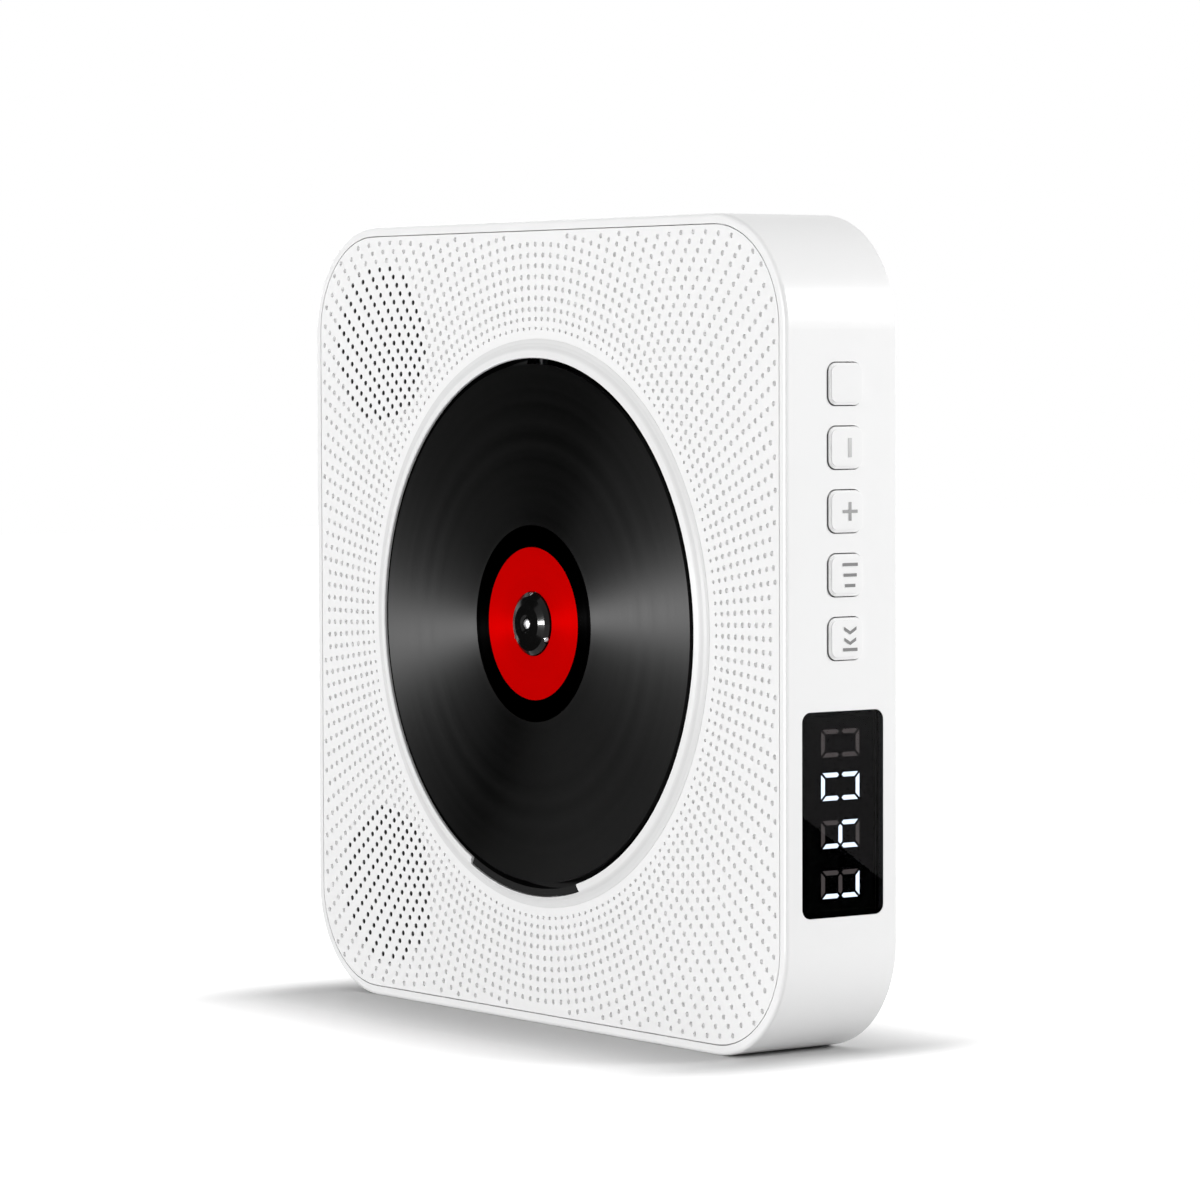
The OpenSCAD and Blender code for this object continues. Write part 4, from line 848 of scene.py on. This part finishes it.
# The camera's white grows only away from the foot, which leaves a painted halo of shade round it
FLOOR_LIFT = 0.95
FLOOR_FADE = 80 * MM
# The box on the floor from which distances count, and how much more they count to its sides
FOOT_HALF_WIDTH = 80 * MM
FOOT_HALF_DEPTH = (CAD_HIGH.y - CAD_LOW.y) / 2
SIDEWAYS = 2.0
WORLD_LEVEL = 0.45


def beyond_diffuse(tree):
    """1 for a ray from the camera, a gloss or a glass, and 0 for the light that falls on the object."""
    path = tree.nodes.new("ShaderNodeLightPath")
    seen = maths(tree, "MAXIMUM", path.outputs["Is Camera Ray"], path.outputs["Is Glossy Ray"])
    return maths(tree, "MAXIMUM", seen, path.outputs["Is Transmission Ray"])


def stage_floor():
    """A white floor that takes the shadow: plain diffuse, with the rest of its white seen only by camera and gloss.

    That rest grows smoothly with the distance from a box under the player, from none at its edge, which leaves a
    painted halo of shade round the foot over the real shadow. The diffuse tone is a little darker near that edge: a
    painted contact shadow.
    """
    mesh = bpy.data.meshes.new("floor")
    s = FLOOR_SIZE / 2
    mesh.from_pydata([(-s, -s, 0), (s, -s, 0), (s, s, 0), (-s, s, 0)], [], [(0, 1, 2, 3)])
    floor = bpy.data.objects.new("floor", mesh)
    bpy.context.scene.collection.objects.link(floor)
    made, tree, shader = blank_material("floor_white")
    place, away = parts_of(tree), []
    for axis, half, weight in (("X", FOOT_HALF_WIDTH, SIDEWAYS), ("Y", FOOT_HALF_DEPTH, 1.0)):
        past = maths(tree, "SUBTRACT", maths(tree, "ABSOLUTE", place[axis]), half)
        weighed = maths(tree, "MULTIPLY", maths(tree, "MAXIMUM", past, 0.0), weight)
        away.append(maths(tree, "POWER", weighed, 2.0))
    distance = maths(tree, "SQRT", maths(tree, "ADD", *away))
    grown = add(tree, "ShaderNodeMapRange", {"Value": distance}, interpolation_type="SMOOTHSTEP")
    grown.inputs["From Max"].default_value = FLOOR_FADE
    grown.inputs["To Max"].default_value = FLOOR_LIFT
    # Painted contact shadow: the diffuse tone is darker near the foot
    tone = ramp(tree, distance, 0.0, PAINTED_SHADOW_REACH, PAINTED_SHADOW_TONE, FLOOR_TONE)
    shader.inputs["Roughness"].default_value = 1.0
    shader.inputs["Specular IOR Level"].default_value = 0.0
    shader.inputs["Emission Color"].default_value = (1, 1, 1, 1)
    lift = maths(tree, "MULTIPLY", grown.outputs["Result"], beyond_diffuse(tree))
    give(tree, shader, Base_Color=grey(tree, tone), Emission_Strength=lift)
    mesh.materials.append(made)


def light_world(level):
    """Even pale surroundings for the object, and plain white where the camera, gloss or glass sees past it."""
    world = bpy.data.worlds.new("surroundings")
    bpy.context.scene.world = world
    world.use_nodes = True
    tree = world.node_tree
    strength = maths(tree, "ADD", maths(tree, "MULTIPLY", beyond_diffuse(tree), 1.0 - level), level)
    give(tree, tree.nodes["Background"], Strength=strength)
    tree.nodes["Background"].inputs["Color"].default_value = (1, 1, 1, 1)


def lamp(name, place, width, height, power, unseen_by=None):
    """A softbox that faces the middle of the case. It may be kept from plain surfaces or from gloss."""
    data = bpy.data.lights.new(name, "AREA")
    data.shape, data.size, data.size_y, data.energy = "RECTANGLE", width, height, power
    made = bpy.data.objects.new(name, data)
    bpy.context.scene.collection.objects.link(made)
    made.location = place
    made.rotation_euler = (AXIS - Vector(place)).to_track_quat("-Z", "Y").to_euler()
    if unseen_by:
        setattr(made, "visible_" + unseen_by, False)


# The front card's direction from the middle of the floor, and the card's own width direction
CARD_OUT, CARD_SIDE = Vector((-0.805, -0.593, 0)), Vector((0.593, -0.805, 0))
CARD_NEAR, CARD_FAR, CARD_TOP_NEAR = 0.12, 1.1, 0.3
CARD_NEAR_HALF, CARD_HALF = 0.12, 0.5
CARD_TALL, CARD_RISE = 1.5, 0.3
CARD_FOOT = 0.001
# The side card's corners stand in one upright plane to the right of the window
SIDE_CARD_X = 0.2652
SIDE_CARD_YZ = [(0.10, 0.052), (0.1755, CARD_FOOT), (0.14, CARD_FOOT), (0.10, CARD_FOOT)]


def black_card(name, corners):
    """A black card of the studio, seen only by gloss, so that black and polished faces reflect dark there."""
    mesh = bpy.data.meshes.new(name)
    count = len(corners) // 4
    mesh.from_pydata(corners, [], [tuple(range(4 * i, 4 * i + 4)) for i in range(count)])
    card = bpy.data.objects.new(name, mesh)
    bpy.context.scene.collection.objects.link(card)
    made, tree, shader = blank_material(name)
    shader.inputs["Base Color"].default_value = (0, 0, 0, 1)
    shader.inputs["Specular IOR Level"].default_value = 0.0
    mesh.materials.append(made)
    for kind in ("camera", "diffuse", "transmission", "volume_scatter", "shadow"):
        setattr(card, "visible_" + kind, False)


def front_card():
    """A floor strip, a wall and a ceiling of black in front of the disc, on the side that it mirrors to the camera."""
    def span(distance, half, height):
        """The two ends of a level line across the card."""
        return [tuple(CARD_OUT * distance + CARD_SIDE * s + Vector((0, 0, height))) for s in (-half, half)]

    near, far = span(CARD_NEAR, CARD_NEAR_HALF, CARD_FOOT), span(CARD_FAR, CARD_HALF, CARD_FOOT)
    high = span(CARD_FAR, CARD_HALF, CARD_TALL)
    back = span(CARD_TOP_NEAR, CARD_HALF, CARD_TALL + CARD_RISE)
    black_card("front_card", near + far[::-1] + far + high[::-1] + high + back[::-1])


light_world(WORLD_LEVEL)
stage_floor()
front_card()
black_card("side_card", [(SIDE_CARD_X, y, z) for y, z in SIDE_CARD_YZ])
# Each lamp's name, place, width and height in metres, power in watts, and the kind of ray that doesn't see it
lamp("front", (-0.3, -2.2, 0.33), 1.4, 0.5, 26.0, unseen_by="glossy")
lamp("right_back", (1.3, 1.3, 0.75), 0.5, 0.5, 22.0)
lamp("left_back", (-1.8, 0.6, 0.6), 0.9, 0.9, 9.0)
lamp("disc_strip", (-0.35, -1.9, 0.10), 1.0, 0.12, 60.0, unseen_by="diffuse")

# ---- Camera ----------------------------------------------------------------

# Fitted to the photo: place in metres, angles in radians, lens and sensor in millimetres
CAMERA_PLACE = Vector((0.95362, -0.69559, 0.15361))
CAMERA_YAW = 0.9389
CAMERA_PITCH = 0.0471
CAMERA_ROLL = -0.0030
CAMERA_LENS = 152.07
SENSOR = 36.0


def make_camera():
    """A camera that looks along (-sin yaw cos pitch, cos yaw cos pitch, -sin pitch), turned by the roll."""
    right = Vector((math.cos(CAMERA_YAW), math.sin(CAMERA_YAW), 0))
    ahead = Vector((
        -math.sin(CAMERA_YAW) * math.cos(CAMERA_PITCH),
        math.cos(CAMERA_YAW) * math.cos(CAMERA_PITCH),
        -math.sin(CAMERA_PITCH),
    ))
    up = right.cross(ahead)
    x = right * math.cos(CAMERA_ROLL) + up * math.sin(CAMERA_ROLL)
    y = up * math.cos(CAMERA_ROLL) - right * math.sin(CAMERA_ROLL)
    data = bpy.data.cameras.new("camera")
    data.lens = CAMERA_LENS
    data.sensor_width = SENSOR
    camera = bpy.data.objects.new("camera", data)
    bpy.context.scene.collection.objects.link(camera)
    camera.matrix_world = Matrix.Translation(CAMERA_PLACE) @ Matrix((x, y, -ahead)).transposed().to_4x4()
    bpy.context.scene.camera = camera


make_camera()
